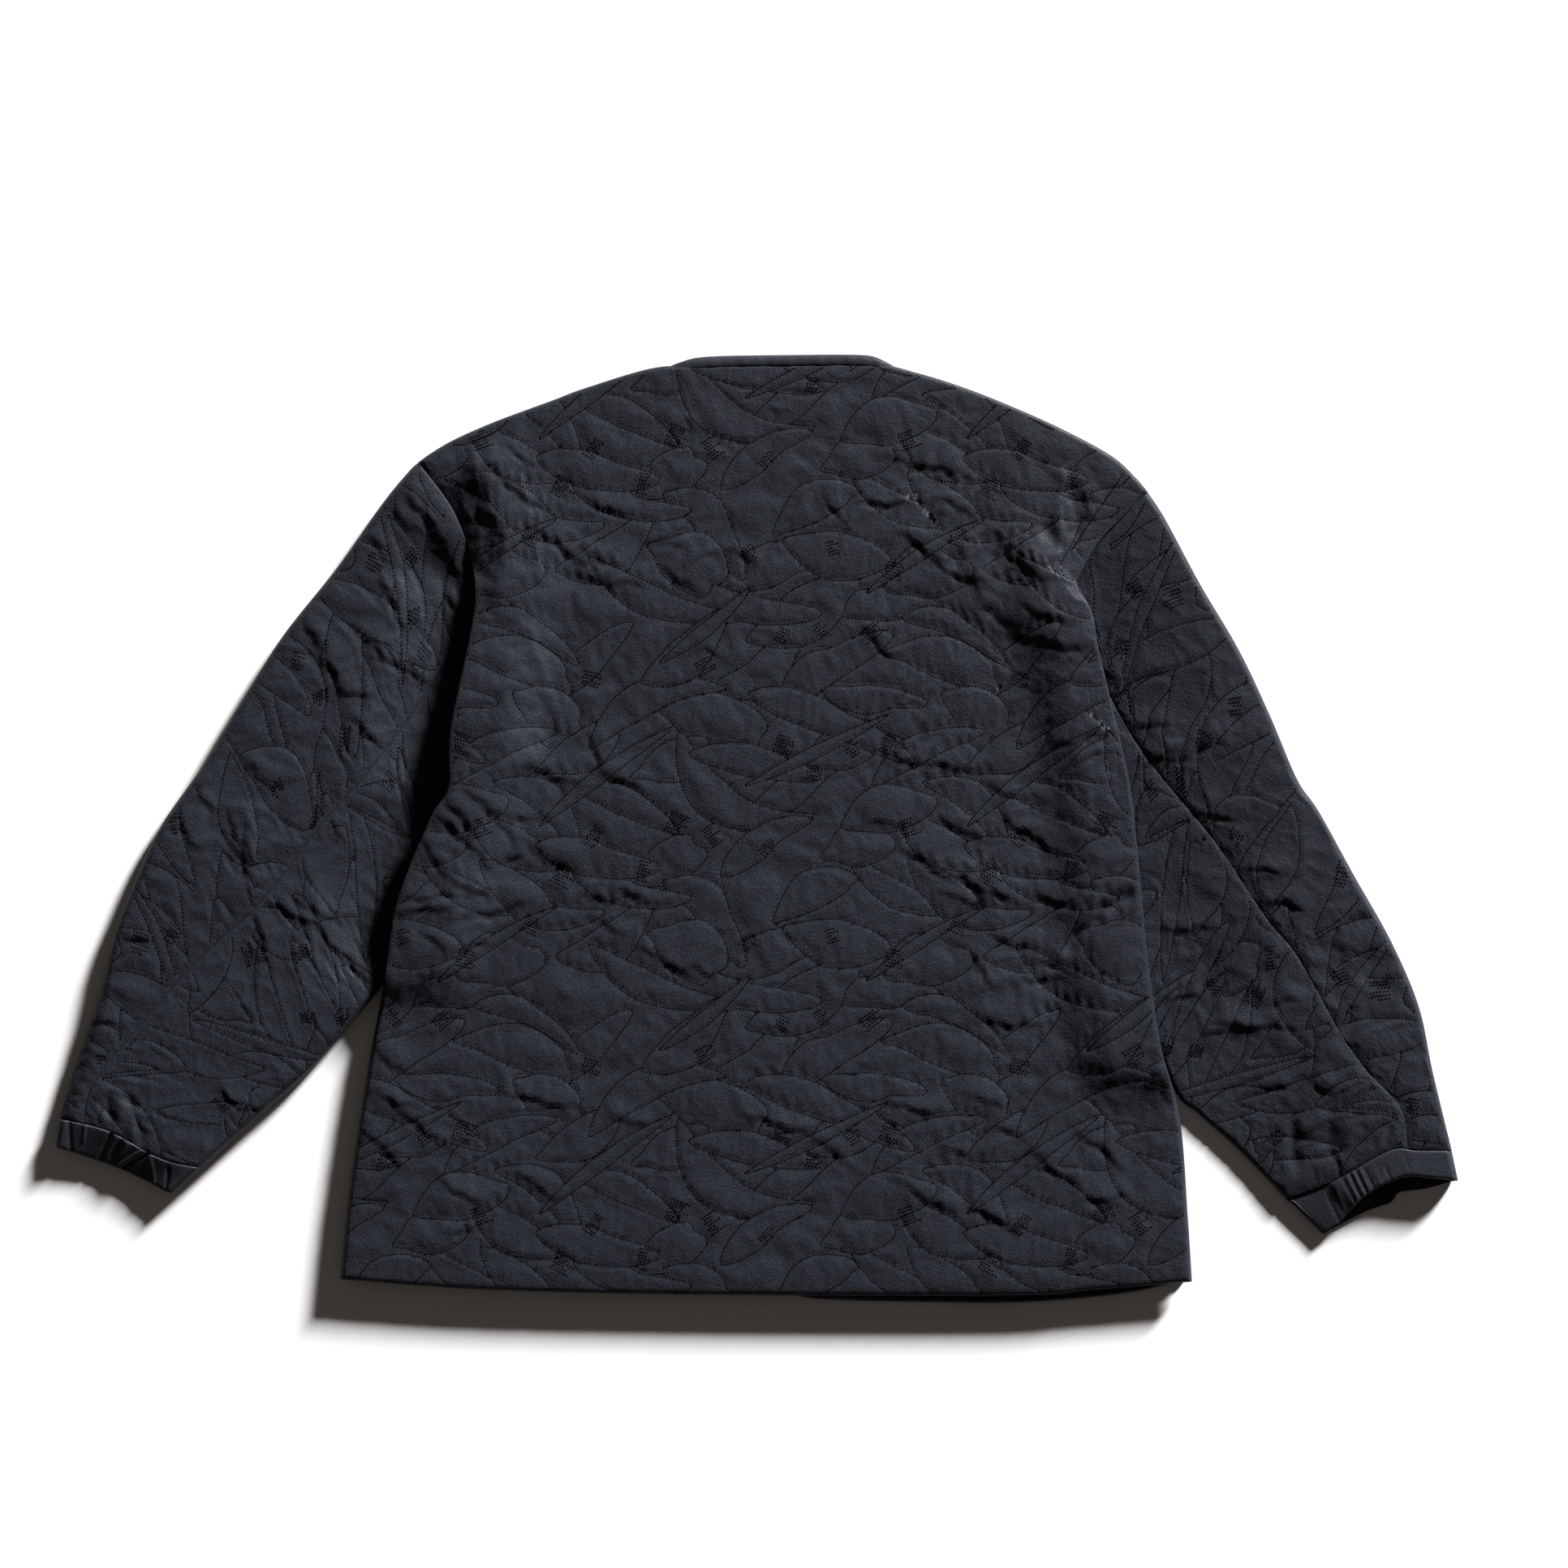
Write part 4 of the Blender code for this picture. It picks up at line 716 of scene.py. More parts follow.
# How high the side edges lie: lift 0 closes down on the front, 1 lies on a sleeve, and more
# stands up where the underarm is bunched beneath.
Seat = namedtuple("Seat", "y lift closed")
SEATS_LEFT = (Seat(-0.345, 0, 1), Seat(-0.142, 0, 1), Seat(-0.108, 1, 0), Seat(-0.020, 1.3, 0),
              Seat(0.040, 1.7, 0), Seat(0.090, 1.6, 0), Seat(0.150, 0.8, 0), Seat(0.235, 0, 0),
              Seat(0.262, 0, 0), Seat(0.273, 0, 1))
SEATS_RIGHT = (Seat(-0.345, 0, 1), Seat(-0.214, 0, 1), Seat(-0.180, 1, 0), Seat(0.150, 1, 0),
               Seat(0.225, 0, 0), Seat(0.240, 0, 0), Seat(0.250, 0, 1))
Closing = namedtuple("Closing", "x closed")
TOP_CLOSING = (Closing(-0.254, 1), Closing(-0.060, 1), Closing(-0.040, 0), Closing(0.085, 0),
               Closing(0.105, 1), Closing(0.293, 1))
BACK_FOLDS = [Fold(*row) for row in (
    # left shoulder
    (-211, 279, -184, 213, 14, 3.8, 0, 0.35), (-184, 213, -194, 167, 12, 2.4, 0, 0.2),
    (-232, 252, -210, 186, 11, -3.6, 0, 0), (-201, 275, -169, 244, 8, 1.1, 1),
    (-171, 247, -152, 236, 6, 0.9), (-168, 233, -124, 198, 9, 1.2, -2), (-133, 194, -105, 184, 8, 1, -2),
    (-107, 184, -80, 183, 7, 1, 2), (-131, 209, -99, 195, 6, 0.8), (-123, 245, -97, 235, 6, 0.8),
    (-188, 289, -163, 272, 6, 0.7, -1), (-83, 214, -50, 213, 5, 0.6), (-67, 194, -46, 181, 5, 0.7, -1),
    (-52, 200, -22, 209, 5, 0.6), (-18, 209, 4, 201, 5, 0.7, -1), (-51, 308, -45, 296, 4, 0.6),
    (-177, 264, -160, 182, 4, 0.6, 2, -0.3), (-169, 151, -145, 70, 4, 0.7, 0, -0.3),
    # right shoulder
    (53, 247, 71, 224, 6, 0.7, 1), (93, 281, 154, 268, 8, 0.9, -1), (76, 245, 116, 244, 7, 0.8),
    (138, 249, 163, 238, 7, 0.9, -1), (105, 228, 144, 200, 9, 1.2, -1), (133, 200, 168, 182, 7, 1),
    (150, 217, 178, 179, 13, 1.4, -2, 0.5), (186, 213, 223, 187, 9, 1.1, -4),
    (167, 181, 203, 153, 13, 1.4, -3, 0.5), (195, 173, 237, 156, 11, 1.3, -2),
    (191, 149, 254, 136, 13, 1.5, -1), (80, 156, 107, 127, 7, 0.9, -3),
    (214, 227, 226, 209, 6, -2, 0, 0), (231, 268, 226, 200, 5, 1.2, -1, -0.4),
    (235, 258, 240, 218, 5, -1.2, 2, 0), (245, 256, 254, 230, 5, 0.7, -1, 0.5),
    # middle
    (-121, 73, -109, 39, 8, 1, -2), (-109, 41, -84, 31, 7, 1), (-177, 48, -133, 35, 9, 1.1, 1),
    (-43, 136, -25, 130, 5, 0.6), (101, 52, 166, 45, 8, 1, 1), (141, 10, 174, -8, 9, 1, -2),
    (177, 32, 197, 26, 7, 0.9, -2), (184, 10, 228, -17, 7, 1), (222, 62, 268, 74, 5, 0.7),
    (237, 49, 262, 59, 5, 0.7), (81, 5, 110, 5, 5, 0.6), (112, -14, 152, -40, 8, 1.2),
    (154, -28, 175, -56, 10, 1.4, 1), (171, -46, 195, -53, 9, 1.3, 3), (137, -45, 171, -57, 6, 0.9, -1),
    (177, -79, 209, -89, 7, 1, -1), (209, -48, 237, -56, 6, 0.8, -1),
    # right waist
    (206, -97, 239, -105, 11, 1.4, 2), (232, -93, 280, -48, 5, -2.3, 3, 0),
    (162, -90, 181, -120, 7, 0.9, 0, 0.5), (197, -113, 231, -111, 6, 0.8),
    (162, -141, 214, -146, 8, 1, -1),
    # left waist
    (-237, 29, -206, -6, 10, 1.4, 3), (-216, 31, -177, -14, 8, 1.2, 4), (-240, 12, -198, -27, 7, 1.1, 2),
    (-251, -4, -230, -40, 7, 1, 2), (-230, -32, -194, -48, 10, 1.3, -3),
    (-203, -26, -171, -12, 8, 1, -4), (-270, -53, -198, -49, 6, 1, 2), (-274, -62, -222, -57, 6, 1),
    (-228, -65, -167, -51, 9, 1.2, -3), (-247, -77, -230, -95, 6, 0.9, 2),
    (-228, -89, -196, -82, 7, 1, -1), (-168, -10, -133, -28, 12, 1.4, -3), (-194, 14, -150, 8, 9, 0.9),
    (-131, -48, -103, -54, 6, 0.9), (-105, -45, -81, -53, 8, 1.1, 3), (-117, -66, -99, -80, 6, 0.8),
    (-88, -88, -48, -110, 6, 0.9), (-49, -102, -29, -110, 6, 0.9),
    # towards the hem
    (-289, -195, -249, -208, 7, 1, -1), (-288, -158, -262, -182, 8, 0.9, 0, 0.5),
    (-291, -226, -262, -253, 6, 0.9), (-274, -201, -225, -241, 6, 0.9, -2),
    (-237, -260, -203, -281, 6, 0.9, -2), (-177, -255, -146, -277, 6, 0.9, -1),
    (-192, -195, -128, -208, 7, 0.9, -1), (-107, -216, -80, -220, 6, 0.9, -1),
    (-16, -210, 42, -227, 6, 0.9, -1), (42, -229, 70, -252, 6, 0.8, 1), (100, -205, 139, -212, 7, 1),
    (106, -261, 149, -287, 7, 1, -1), (161, -280, 197, -300, 8, 1.2), (161, -197, 188, -208, 8, 1),
    (206, -237, 242, -265, 10, 1.1, -2), (242, -227, 275, -252, 8, 1, 2),
    (239, -278, 279, -273, 6, 0.9, -1), (268, -198, 297, -170, 6, -0.9, 0, 0),
    (139, -237, 161, -243, 7, 0.8), (175, -222, 201, -230, 6, 0.8), (-237, -303, -208, -299, 5, 0.7, 1))]
BACK_GATHERS = (Gather(0.190, 0.190, 0.085), Gather(0.150, 0.255, 0.060), Gather(-0.180, 0.240, 0.070),
                Gather(-0.130, 0.195, 0.070), Gather(-0.215, 0.000, 0.065), Gather(0.255, -0.070, 0.060),
                Gather(0.130, 0.060, 0.080), Gather(0.165, -0.030, 0.070), Gather(-0.110, -0.080, 0.070),
                Gather(0.215, -0.140, 0.070), Gather(-0.150, 0.060, 0.050), Gather(0.140, -0.240, 0.070),
                Gather(0.020, -0.180, 0.050), Gather(-0.200, -0.270, 0.060))
# A short row of stitches that runs beside the right armhole.
ARMHOLE_ROW = ((0.2755, 0.2650), (0.2695, 0.2564), (0.2525, 0.2320), (0.2355, 0.2061))
BACK_LEFT_EDGE = joined(smooth_line(SIDE_LEFT), smooth_line(ARMHOLE_LEFT)[::-1])
BACK_RIGHT_EDGE = joined(smooth_line(SIDE_RIGHT), smooth_line(ARMHOLE_RIGHT)[::-1])
EDGE_STOPS = (0.0007, 0.0018, 0.0032, 0.0050)
STEADY = [0, 1, 2, 3, -4, -3, -2, -1]    # the outermost rows, which the padding doesn't press out


def seat_along(seats, y):
    ys = [seat.y for seat in seats]
    return (np.interp(y, ys, [seat.lift for seat in seats]),
            np.interp(y, ys, [seat.closed for seat in seats]))


def back_side(plan, u, v, height, is_outer, swell=0.0):
    """Height of the back over its flat plan: its outer face, or its plain inside."""
    x, y = plan[..., 0], plan[..., 1]
    across = np.hypot(*(read(BACK_RIGHT_EDGE, v[:, 0]) - read(BACK_LEFT_EDGE, v[:, 0])).T)[:, None]
    from_left, from_right = u * across, (1 - u) * across
    from_hem, from_top = v * height, (1 - v) * height
    lift_left, closed_left = seat_along(SEATS_LEFT, read(BACK_LEFT_EDGE, v)[..., 1])
    lift_right, closed_right = seat_along(SEATS_RIGHT, read(BACK_RIGHT_EDGE, v)[..., 1])
    closed_top = np.interp(x, [row.x for row in TOP_CLOSING], [row.closed for row in TOP_CLOSING])
    near_left = 1 - ease((from_left - LIFT_BAND) / LIFT_FADE)
    near_right = 1 - ease((from_right - LIFT_BAND) / LIFT_FADE)
    rise = LIFT * (ease(lift_left) * np.maximum(lift_left, 1) * near_left + ease(lift_right) * near_right)
    inside = WALL + LAYER_GAP + rise
    turned = np.maximum.reduce([closed_left * (1 - bulge(from_left, SIDE_ROUND)),
                                closed_right * (1 - bulge(from_right, SIDE_ROUND)),
                                closed_top * (1 - bulge(from_top, TOP_ROUND))])
    if not is_outer:
        drop = (LAYER_GAP - SEAM_GAP) * ease(turned * 2.2)
        trough = np.minimum(fold_rise(x, y, BACK_FOLDS), 0) * (1 - np.minimum(rise / LIFT, 1))
        return np.dstack([x, y, np.maximum(inside - drop + trough, WALL + SEAM_GAP)])
    edge = np.minimum.reduce([from_left, from_right, from_hem, from_top])
    open_edge = np.minimum(from_hem, from_top + closed_top)
    rounded = WALL * OPEN_DROP * (1 - bulge(open_edge, OPEN_ROUND))
    lying = np.maximum(ease(lift_left) * (1 - bulge(from_left, SIDE_ROUND)),
                       ease(lift_right) * (1 - bulge(from_right, SIDE_ROUND)))
    seam = SEAM_DIP * np.exp(-np.minimum(from_left, from_right) / SEAM_REACH)
    fade = 1 - np.exp(-edge / QUILT_FADE)
    folds = fold_rise(x, y, BACK_FOLDS)
    z = inside + WALL + (swell + np.maximum(folds, 0)) * fade + np.minimum(folds, 0) * (1 - turned)
    drop = np.maximum.reduce([turned * (WALL + LAYER_GAP - RIM_FOOT), lying * LYING_DROP, rounded, seam])
    return np.dstack([x, y, z - drop])


hem_line, shoulder_line = smooth_line(HEM), smooth_line(SHOULDERS)
back_width, back_height = shares(hem_line)[1], shares(BACK_LEFT_EDGE)[1]
u_stops = even_stops(back_width, SPACING, EDGE_STOPS)
v_stops = even_stops(back_height, SPACING, EDGE_STOPS)
inset_u, inset_v = SEAM_GAP / 2 / back_width, SEAM_GAP / 2 / back_height
v, u = np.meshgrid(np.clip(v_stops, inset_v, 1 - inset_v), np.clip(u_stops, inset_u, 1 - inset_u),
                   indexing="ij")
plan = patch(BACK_LEFT_EDGE, BACK_RIGHT_EDGE, hem_line, shoulder_line, u, v)
loose_x, loose_y, held, away, above = drawn_to_lines(plan[..., 0], plan[..., 1], SPACING)
fixed = to_edge(u, v, back_width, back_height) < 2 * EDGE_STOPS[-1]
plan[..., 0] = np.where(fixed, plan[..., 0], loose_x)
plan[..., 1] = np.where(fixed, plan[..., 1], loose_y)
gathered = spare_cloth(plan[..., 0], plan[..., 1], BACK_GATHERS)
swell = puff(away) + puckers(plan[..., 0], plan[..., 1], away, above, gathered)
outer = back_side(plan, u, v, back_height, True, swell)
edge_rows = np.zeros(held.shape, bool)
edge_rows[STEADY] = True
edge_rows[:, STEADY] = True
outer = settle(outer, held | edge_rows, gathered)
rows, cols = picked(len(v_stops), INNER_STRIDE), picked(len(u_stops), INNER_STRIDE)
inner_v, inner_u = v_stops[rows], u_stops[cols]
inner_u[[0, -1]] = RIM_INSET / back_width, 1 - RIM_INSET / back_width
inner_v[[0, -1]] = HEM_INSET / back_height, 1 - SHOULDER_INSET / back_height
v_in, u_in = np.meshgrid(inner_v, inner_u, indexing="ij")
inner_plan = patch(BACK_LEFT_EDGE, BACK_RIGHT_EDGE, hem_line, shoulder_line, u_in, v_in)
inner = back_side(inner_plan, u_in, v_in, back_height, False)
body_nylon = nylon("quilted_nylon", NYLON, NYLON_ROUGHNESS, 0.0, NYLON_RELIEF)
back = walled("back_panel", outer, inner, rows, cols, body_nylon, held)


def surface_of(points, held):
    return BVHTree.FromPolygons(points.reshape(-1, 3).tolist(), grid_faces(numbered(points), held))


back_surface = surface_of(outer, held)
back_outline = np.vstack([hem_line, BACK_RIGHT_EDGE, shoulder_line[::-1], BACK_LEFT_EDGE[::-1]])


def inside_outline(points, outline):
    """Whether each point lies inside a closed outline, and its distance to it."""
    x, y = points[:, 0], points[:, 1]
    inside = np.zeros(len(points), bool)
    ahead = np.roll(outline, -1, axis=0)
    for (ax, ay), (bx, by) in zip(outline, ahead):
        if ay != by:
            inside ^= ((ay > y) != (by > y)) & (x < (bx - ax) * (y - ay) / (by - ay) + ax)
    away = np.full(len(points), 1.0)
    for ax, ay in outline[::2]:
        away = np.minimum(away, np.hypot(x - ax, y - ay))
    return inside, away


stitches = quilting_stitches(back_outline.min(0), back_outline.max(0))
inside, away = inside_outline(stitches.mean(1), back_outline)
armhole_row = stitches_along(smooth_line(ARMHOLE_ROW))
back_stitching = sewn("back_stitching", np.vstack([stitches[inside & (away > EDGE_MARGIN)], armhole_row]),
                      back_surface)
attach(back, "root")
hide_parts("back")
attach(back_stitching, "root")

# ----------------------------------------------------------------- the sleeves
# Each sleeve is sewn from two quilted pieces: one wraps round its outer fold and one
# round its inner fold, and they meet in a seam down the sleeve's back.
SLEEVE_HEIGHT = 2 * WALL + LAYER_GAP
TUCK = 0.0025
SUNK, SUNK_NEAR, SUNK_REACH = 0.0085, 0.020, 0.050
RIGHT_FALL, FALL_WAY, FALL_START, FALL_REACH = 0.0085, (0.92, 0.39), 0.230, 0.150
SLEEVE_SEAM_DIP = 0.0006
END_FLARE = 0.013        # how much wider the left sleeve's outer edge rounds at the cuff
FOLD_ROUND_UP, FOLD_ROUND_DOWN = 0.0065, 0.006
PRESSED_ROUND = 0.0038    # the right sleeve's outer fold is pressed sharper
FOLD_STOPS = (0.0003, 0.0010, 0.0021, 0.0036, 0.0055, 0.0078)
SEAM_STOPS = (0.0008, 0.0020)
UNDER_STEP, UNDER_STRIDE = 0.009, 3
SEAM_INSET, END_INSET = 0.0012, 0.0040
FLARE_FROM, FLARE_OVER = 0.78, 0.22       # where the outer edge rounds wider, as shares of its length
LEAST_HEAD = 0.11                         # the narrowest head that sets the points across a piece
STILL_BELOW, SEWN_BELOW = 0.3, 0.6        # how far covered cloth still swells, and is still stitched
INNER_OFFSET = 0.17                       # how far the inner pieces' quilting is moved across
UNDERARM_LEFT, UNDERARM_RIGHT = 0.194, 0.183  # how far up the sides end and the armholes start
COVER_FADE = 0.008                        # over which a sleeve passes under the back
SUNK_LOW, SUNK_LOW_FADE = -0.135, 0.06    # where the pressed band beside the back begins,
SUNK_HIGH, SUNK_HIGH_FADE = 0.235, 0.05   # and where it ends
HIDDEN_ARMHOLE_LEFT = ((-0.2118, 0.1940), (-0.2100, 0.1800), (-0.2070, 0.1650), (-0.2060, 0.1090),
                       (-0.2070, 0.0500), (-0.2090, -0.0060))
HIDDEN_ARMHOLE_RIGHT = ((0.2392, 0.1824), (0.2422, 0.1700), (0.2440, 0.1500), (0.2460, 0.0900),
                        (0.2470, 0.0400), (0.2480, -0.0060))
OUTER_LEFT = ((-0.2533, 0.2736), (-0.2600, 0.2674), (-0.2800, 0.2431), (-0.3145, 0.1943),
              (-0.3532, 0.1457), (-0.3842, 0.0970), (-0.4135, 0.0483), (-0.4469, -0.0004),
              (-0.4683, -0.0472), (-0.4810, -0.0795), (-0.4895, -0.1160), (-0.4999, -0.1477),
              (-0.5109, -0.1800), (-0.5226, -0.2180))
BACK_SEAM_LEFT = ((-0.2064, 0.1500), (-0.2252, 0.1333), (-0.2804, 0.0537), (-0.3266, 0.0000),
                  (-0.3715, -0.0574), (-0.4188, -0.1011), (-0.4619, -0.1496), (-0.4960, -0.1920),
                  (-0.5030, -0.2222))
INNER_LEFT = ((-0.2090, -0.0060), (-0.2260, -0.0350), (-0.2738, -0.1096), (-0.3000, -0.1430),
              (-0.3345, -0.1824), (-0.3648, -0.2097), (-0.3950, -0.2370), (-0.4150, -0.2550))
CASING_LEFT = ((-0.5226, -0.2180), (-0.4850, -0.2270), (-0.4450, -0.2480), (-0.4150, -0.2550))
OUTER_RIGHT = ((0.2942, 0.2512), (0.3073, 0.2310), (0.3335, 0.1822), (0.3622, 0.1335), (0.3853, 0.0849),
               (0.4061, 0.0361), (0.4225, 0.0117), (0.4493, -0.0369), (0.4767, -0.0857),
               (0.4973, -0.1343), (0.5077, -0.1831), (0.5220, -0.2419))
BACK_SEAM_RIGHT = ((0.2440, 0.1500), (0.2580, 0.1150), (0.2634, 0.1029), (0.2816, 0.0695),
                   (0.3029, 0.0392), (0.3454, -0.0124), (0.3818, -0.0670), (0.4061, -0.0974),
                   (0.4395, -0.1569), (0.4589, -0.1836), (0.4832, -0.2109), (0.4880, -0.2419))
INNER_RIGHT = ((0.2480, -0.0060), (0.2620, -0.0380), (0.2870, -0.1150), (0.3132, -0.1945),
               (0.3333, -0.2158), (0.3636, -0.2430), (0.3979, -0.2789))
CASING_RIGHT = ((0.5220, -0.2419), (0.4953, -0.2419), (0.4747, -0.2419), (0.4328, -0.2656),
                (0.3979, -0.2789))
SLEEVE_FOLDS = [Fold(*row) for row in (
    # left upper arm
    (-262, 255, -230, 211, 9, 1.8, 2, 0.5), (-230, 211, -214, 165, 9, 1.8, 2, 0.5),
    (-274, 249, -260, 223, 5, 0.8), (-289, 221, -269, 194, 6, 0.8), (-279, 190, -262, 150, 8, 1.3, 1),
    (-292, 150, -280, 130, 8, 1.1), (-280, 133, -242, 110, 8, 1.3, -1), (-232, 176, -217, 156, 6, 0.9),
    (-336, 158, -321, 126, 8, 1.4, 1), (-321, 127, -308, 104, 8, 1.4, 1), (-310, 103, -286, 99, 6, 0.9),
    (-359, 136, -339, 133, 6, 0.8), (-300, 85, -277, 57, 7, 1.1), (-383, 53, -360, 30, 5, 0.7),
    (-419, 36, -404, 12, 6, 0.9), (-433, 12, -417, -15, 6, 0.8),
    # left elbow
    (-395, 14, -383, -12, 6, 1), (-384, 18, -375, -25, 8, 1.3, 2, 0.5), (-383, -12, -375, -57, 6, 1.3),
    (-316, 6, -303, -19, 5, 0.7), (-347, -46, -304, -68, 12, 1.2, -3), (-365, -54, -322, -73, 6, 1, -1),
    (-325, -76, -277, -118, 10, 1.4, -2), (-374, -60, -364, -100, 5, 0.8, 1, 0.5),
    # left forearm and cuff
    (-474, -79, -452, -84, 6, 0.9), (-497, -143, -473, -147, 6, 0.7), (-401, -195, -384, -208, 6, 1),
    (-385, -208, -361, -210, 6, 1), (-341, -176, -322, -164, 6, -0.7, 0, 0),
    (-481, -226, -495, -210, 4, 0.7, 0, 0), (-481, -225, -485, -201, 4, -1.3, 2, 0),
    (-481, -224, -476, -202, 5, 1, -3, 0), (-476, -224, -468, -202, 4, -1.2, -2, 0),
    (-466, -231, -473, -209, 4, 0.6, -3, 0.3), (-461, -238, -461, -221, 4, -1.4, 0, 0),
    (-507, -225, -483, -227, 4, -0.9, 0, 0), (-450, -253, -430, -254, 4, 0.6, -2, 0.5),
    # right upper arm
    (260, 121, 270, 114, 6, 0.9), (283, 75, 309, 82, 6, 0.9), (291, 49, 316, 62, 6, 0.9),
    (303, 51, 353, 73, 10, 1.1, 0, 0.5), (333, 12, 364, 9, 9, 1),
    # right elbow
    (370, -29, 394, -32, 5, 0.9), (382, -55, 412, -61, 6, 1, 3), (422, -95, 456, -66, 6, -1.4, 0, 0),
    (418, -113, 439, -91, 7, -1.6, 0, 0), (430, -129, 461, -94, 9, -1.9, 2, 0),
    (455, -116, 482, -94, 6, -1.4, 0, 0), (439, -158, 474, -116, 7, -1.6, 2, 0),
    (303, -75, 345, -73, 7, 0.7), (306, -128, 334, -123, 7, 0.9),
    # right forearm and cuff
    (382, -131, 407, -125, 7, 0.9), (345, -144, 401, -147, 8, 1.1, -1),
    (336, -153, 377, -151, 6, 1.2, 2), (376, -195, 400, -192, 7, 1), (416, -188, 432, -197, 8, 1),
    (430, -197, 457, -188, 6, 0.9), (406, -228, 427, -218, 6, 1, -2),
    (402, -219, 405, -255, 5, -1.2, 0, 0), (430, -222, 434, -249, 8, -1.6, 0, 0),
    (433, -238, 444, -263, 6, 1), (473, -222, 474, -238, 4, -0.9, 0, 0))]
SLEEVE_GATHERS = (Gather(-0.300, 0.150, 0.080), Gather(-0.250, 0.190, 0.060), Gather(-0.375, -0.040, 0.080),
                  Gather(-0.260, 0.030, 0.060), Gather(-0.300, -0.080, 0.070), Gather(-0.470, -0.190, 0.060),
                  Gather(0.290, 0.190, 0.050), Gather(0.390, -0.060, 0.070), Gather(0.420, -0.210, 0.070),
                  Gather(0.330, -0.110, 0.060), Gather(0.470, -0.150, 0.050))
Sleeve = namedtuple("Sleeve", "name node side fold seam head end offset flare")


def covered(x, y, side):
    """0 where the sleeve shows, 1 where it lies under the back."""
    edge = BACK_LEFT_EDGE if side < 0 else BACK_RIGHT_EDGE
    underarm = UNDERARM_LEFT if side < 0 else UNDERARM_RIGHT
    below_seam = edge[: int(np.argmax(edge[:, 1] > underarm))]
    edge_x = np.interp(y, below_seam[:, 1], below_seam[:, 0])
    depth = (edge_x - x) * side
    return ease((depth + 0.001) / COVER_FADE) * ease((below_seam[-1, 1] + 0.004 - y) / COVER_FADE)


def sunk(x, y):
    """1 beside the back's left edge, where the sleeve lies pressed flat, 0 further off."""
    edge = BACK_LEFT_EDGE[: int(np.argmax(BACK_LEFT_EDGE[:, 1] > UNDERARM_LEFT))]
    away = np.interp(y, edge[:, 1], edge[:, 0]) - x
    ends = ease((y - SUNK_LOW) / SUNK_LOW_FADE), ease((SUNK_HIGH - y) / SUNK_HIGH_FADE)
    return (1 - ease((away - SUNK_NEAR) / SUNK_REACH)) * ends[0] * ends[1]


def leaned(x, y):
    """0 along the right sleeve's outer fold, 1 at its inner one, which lies lower."""
    return ease(1 - (x * FALL_WAY[0] + y * FALL_WAY[1] - FALL_START) / FALL_REACH)


def sleeve_side(plan, from_fold, from_seam, layers, v, long, piece, is_outer, swell=0.0):
    """Height of a sleeve piece: layer 1 is on top, -1 beneath, and 0 is the fold itself."""
    x, y = plan[..., 0], plan[..., 1]
    hidden = covered(x, y, piece.side)
    drop = SUNK * sunk(x, y) if piece.side < 0 else RIGHT_FALL * leaned(x, y)
    top = SLEEVE_HEIGHT - np.maximum(TUCK * hidden, drop)
    middle = top / 2
    if not is_outer:
        return np.dstack([x, y, middle + np.sign(layers) * (middle - WALL * top / SLEEVE_HEIGHT)])
    round_up = FOLD_ROUND_UP if piece.side < 0 else PRESSED_ROUND
    round_up = round_up + piece.flare * ease((v - FLARE_FROM) / FLARE_OVER)
    upper = middle + (top - middle) * bulge(from_fold, round_up)
    lower = middle - middle * bulge(from_fold, FOLD_ROUND_DOWN)
    edge = np.minimum.reduce([from_fold, from_seam, v * long, (1 - v) * long])
    raised = (swell + fold_rise(x, y, SLEEVE_FOLDS)) * (1 - np.exp(-edge / QUILT_FADE)) * (1 - hidden)
    seam = SLEEVE_SEAM_DIP * np.exp(-np.minimum(from_seam, np.minimum(v, 1 - v) * long) / SEAM_REACH)
    z = np.where(layers > 0, upper + raised - seam, np.where(layers < 0, lower, middle))
    return np.dstack([x, y, z])


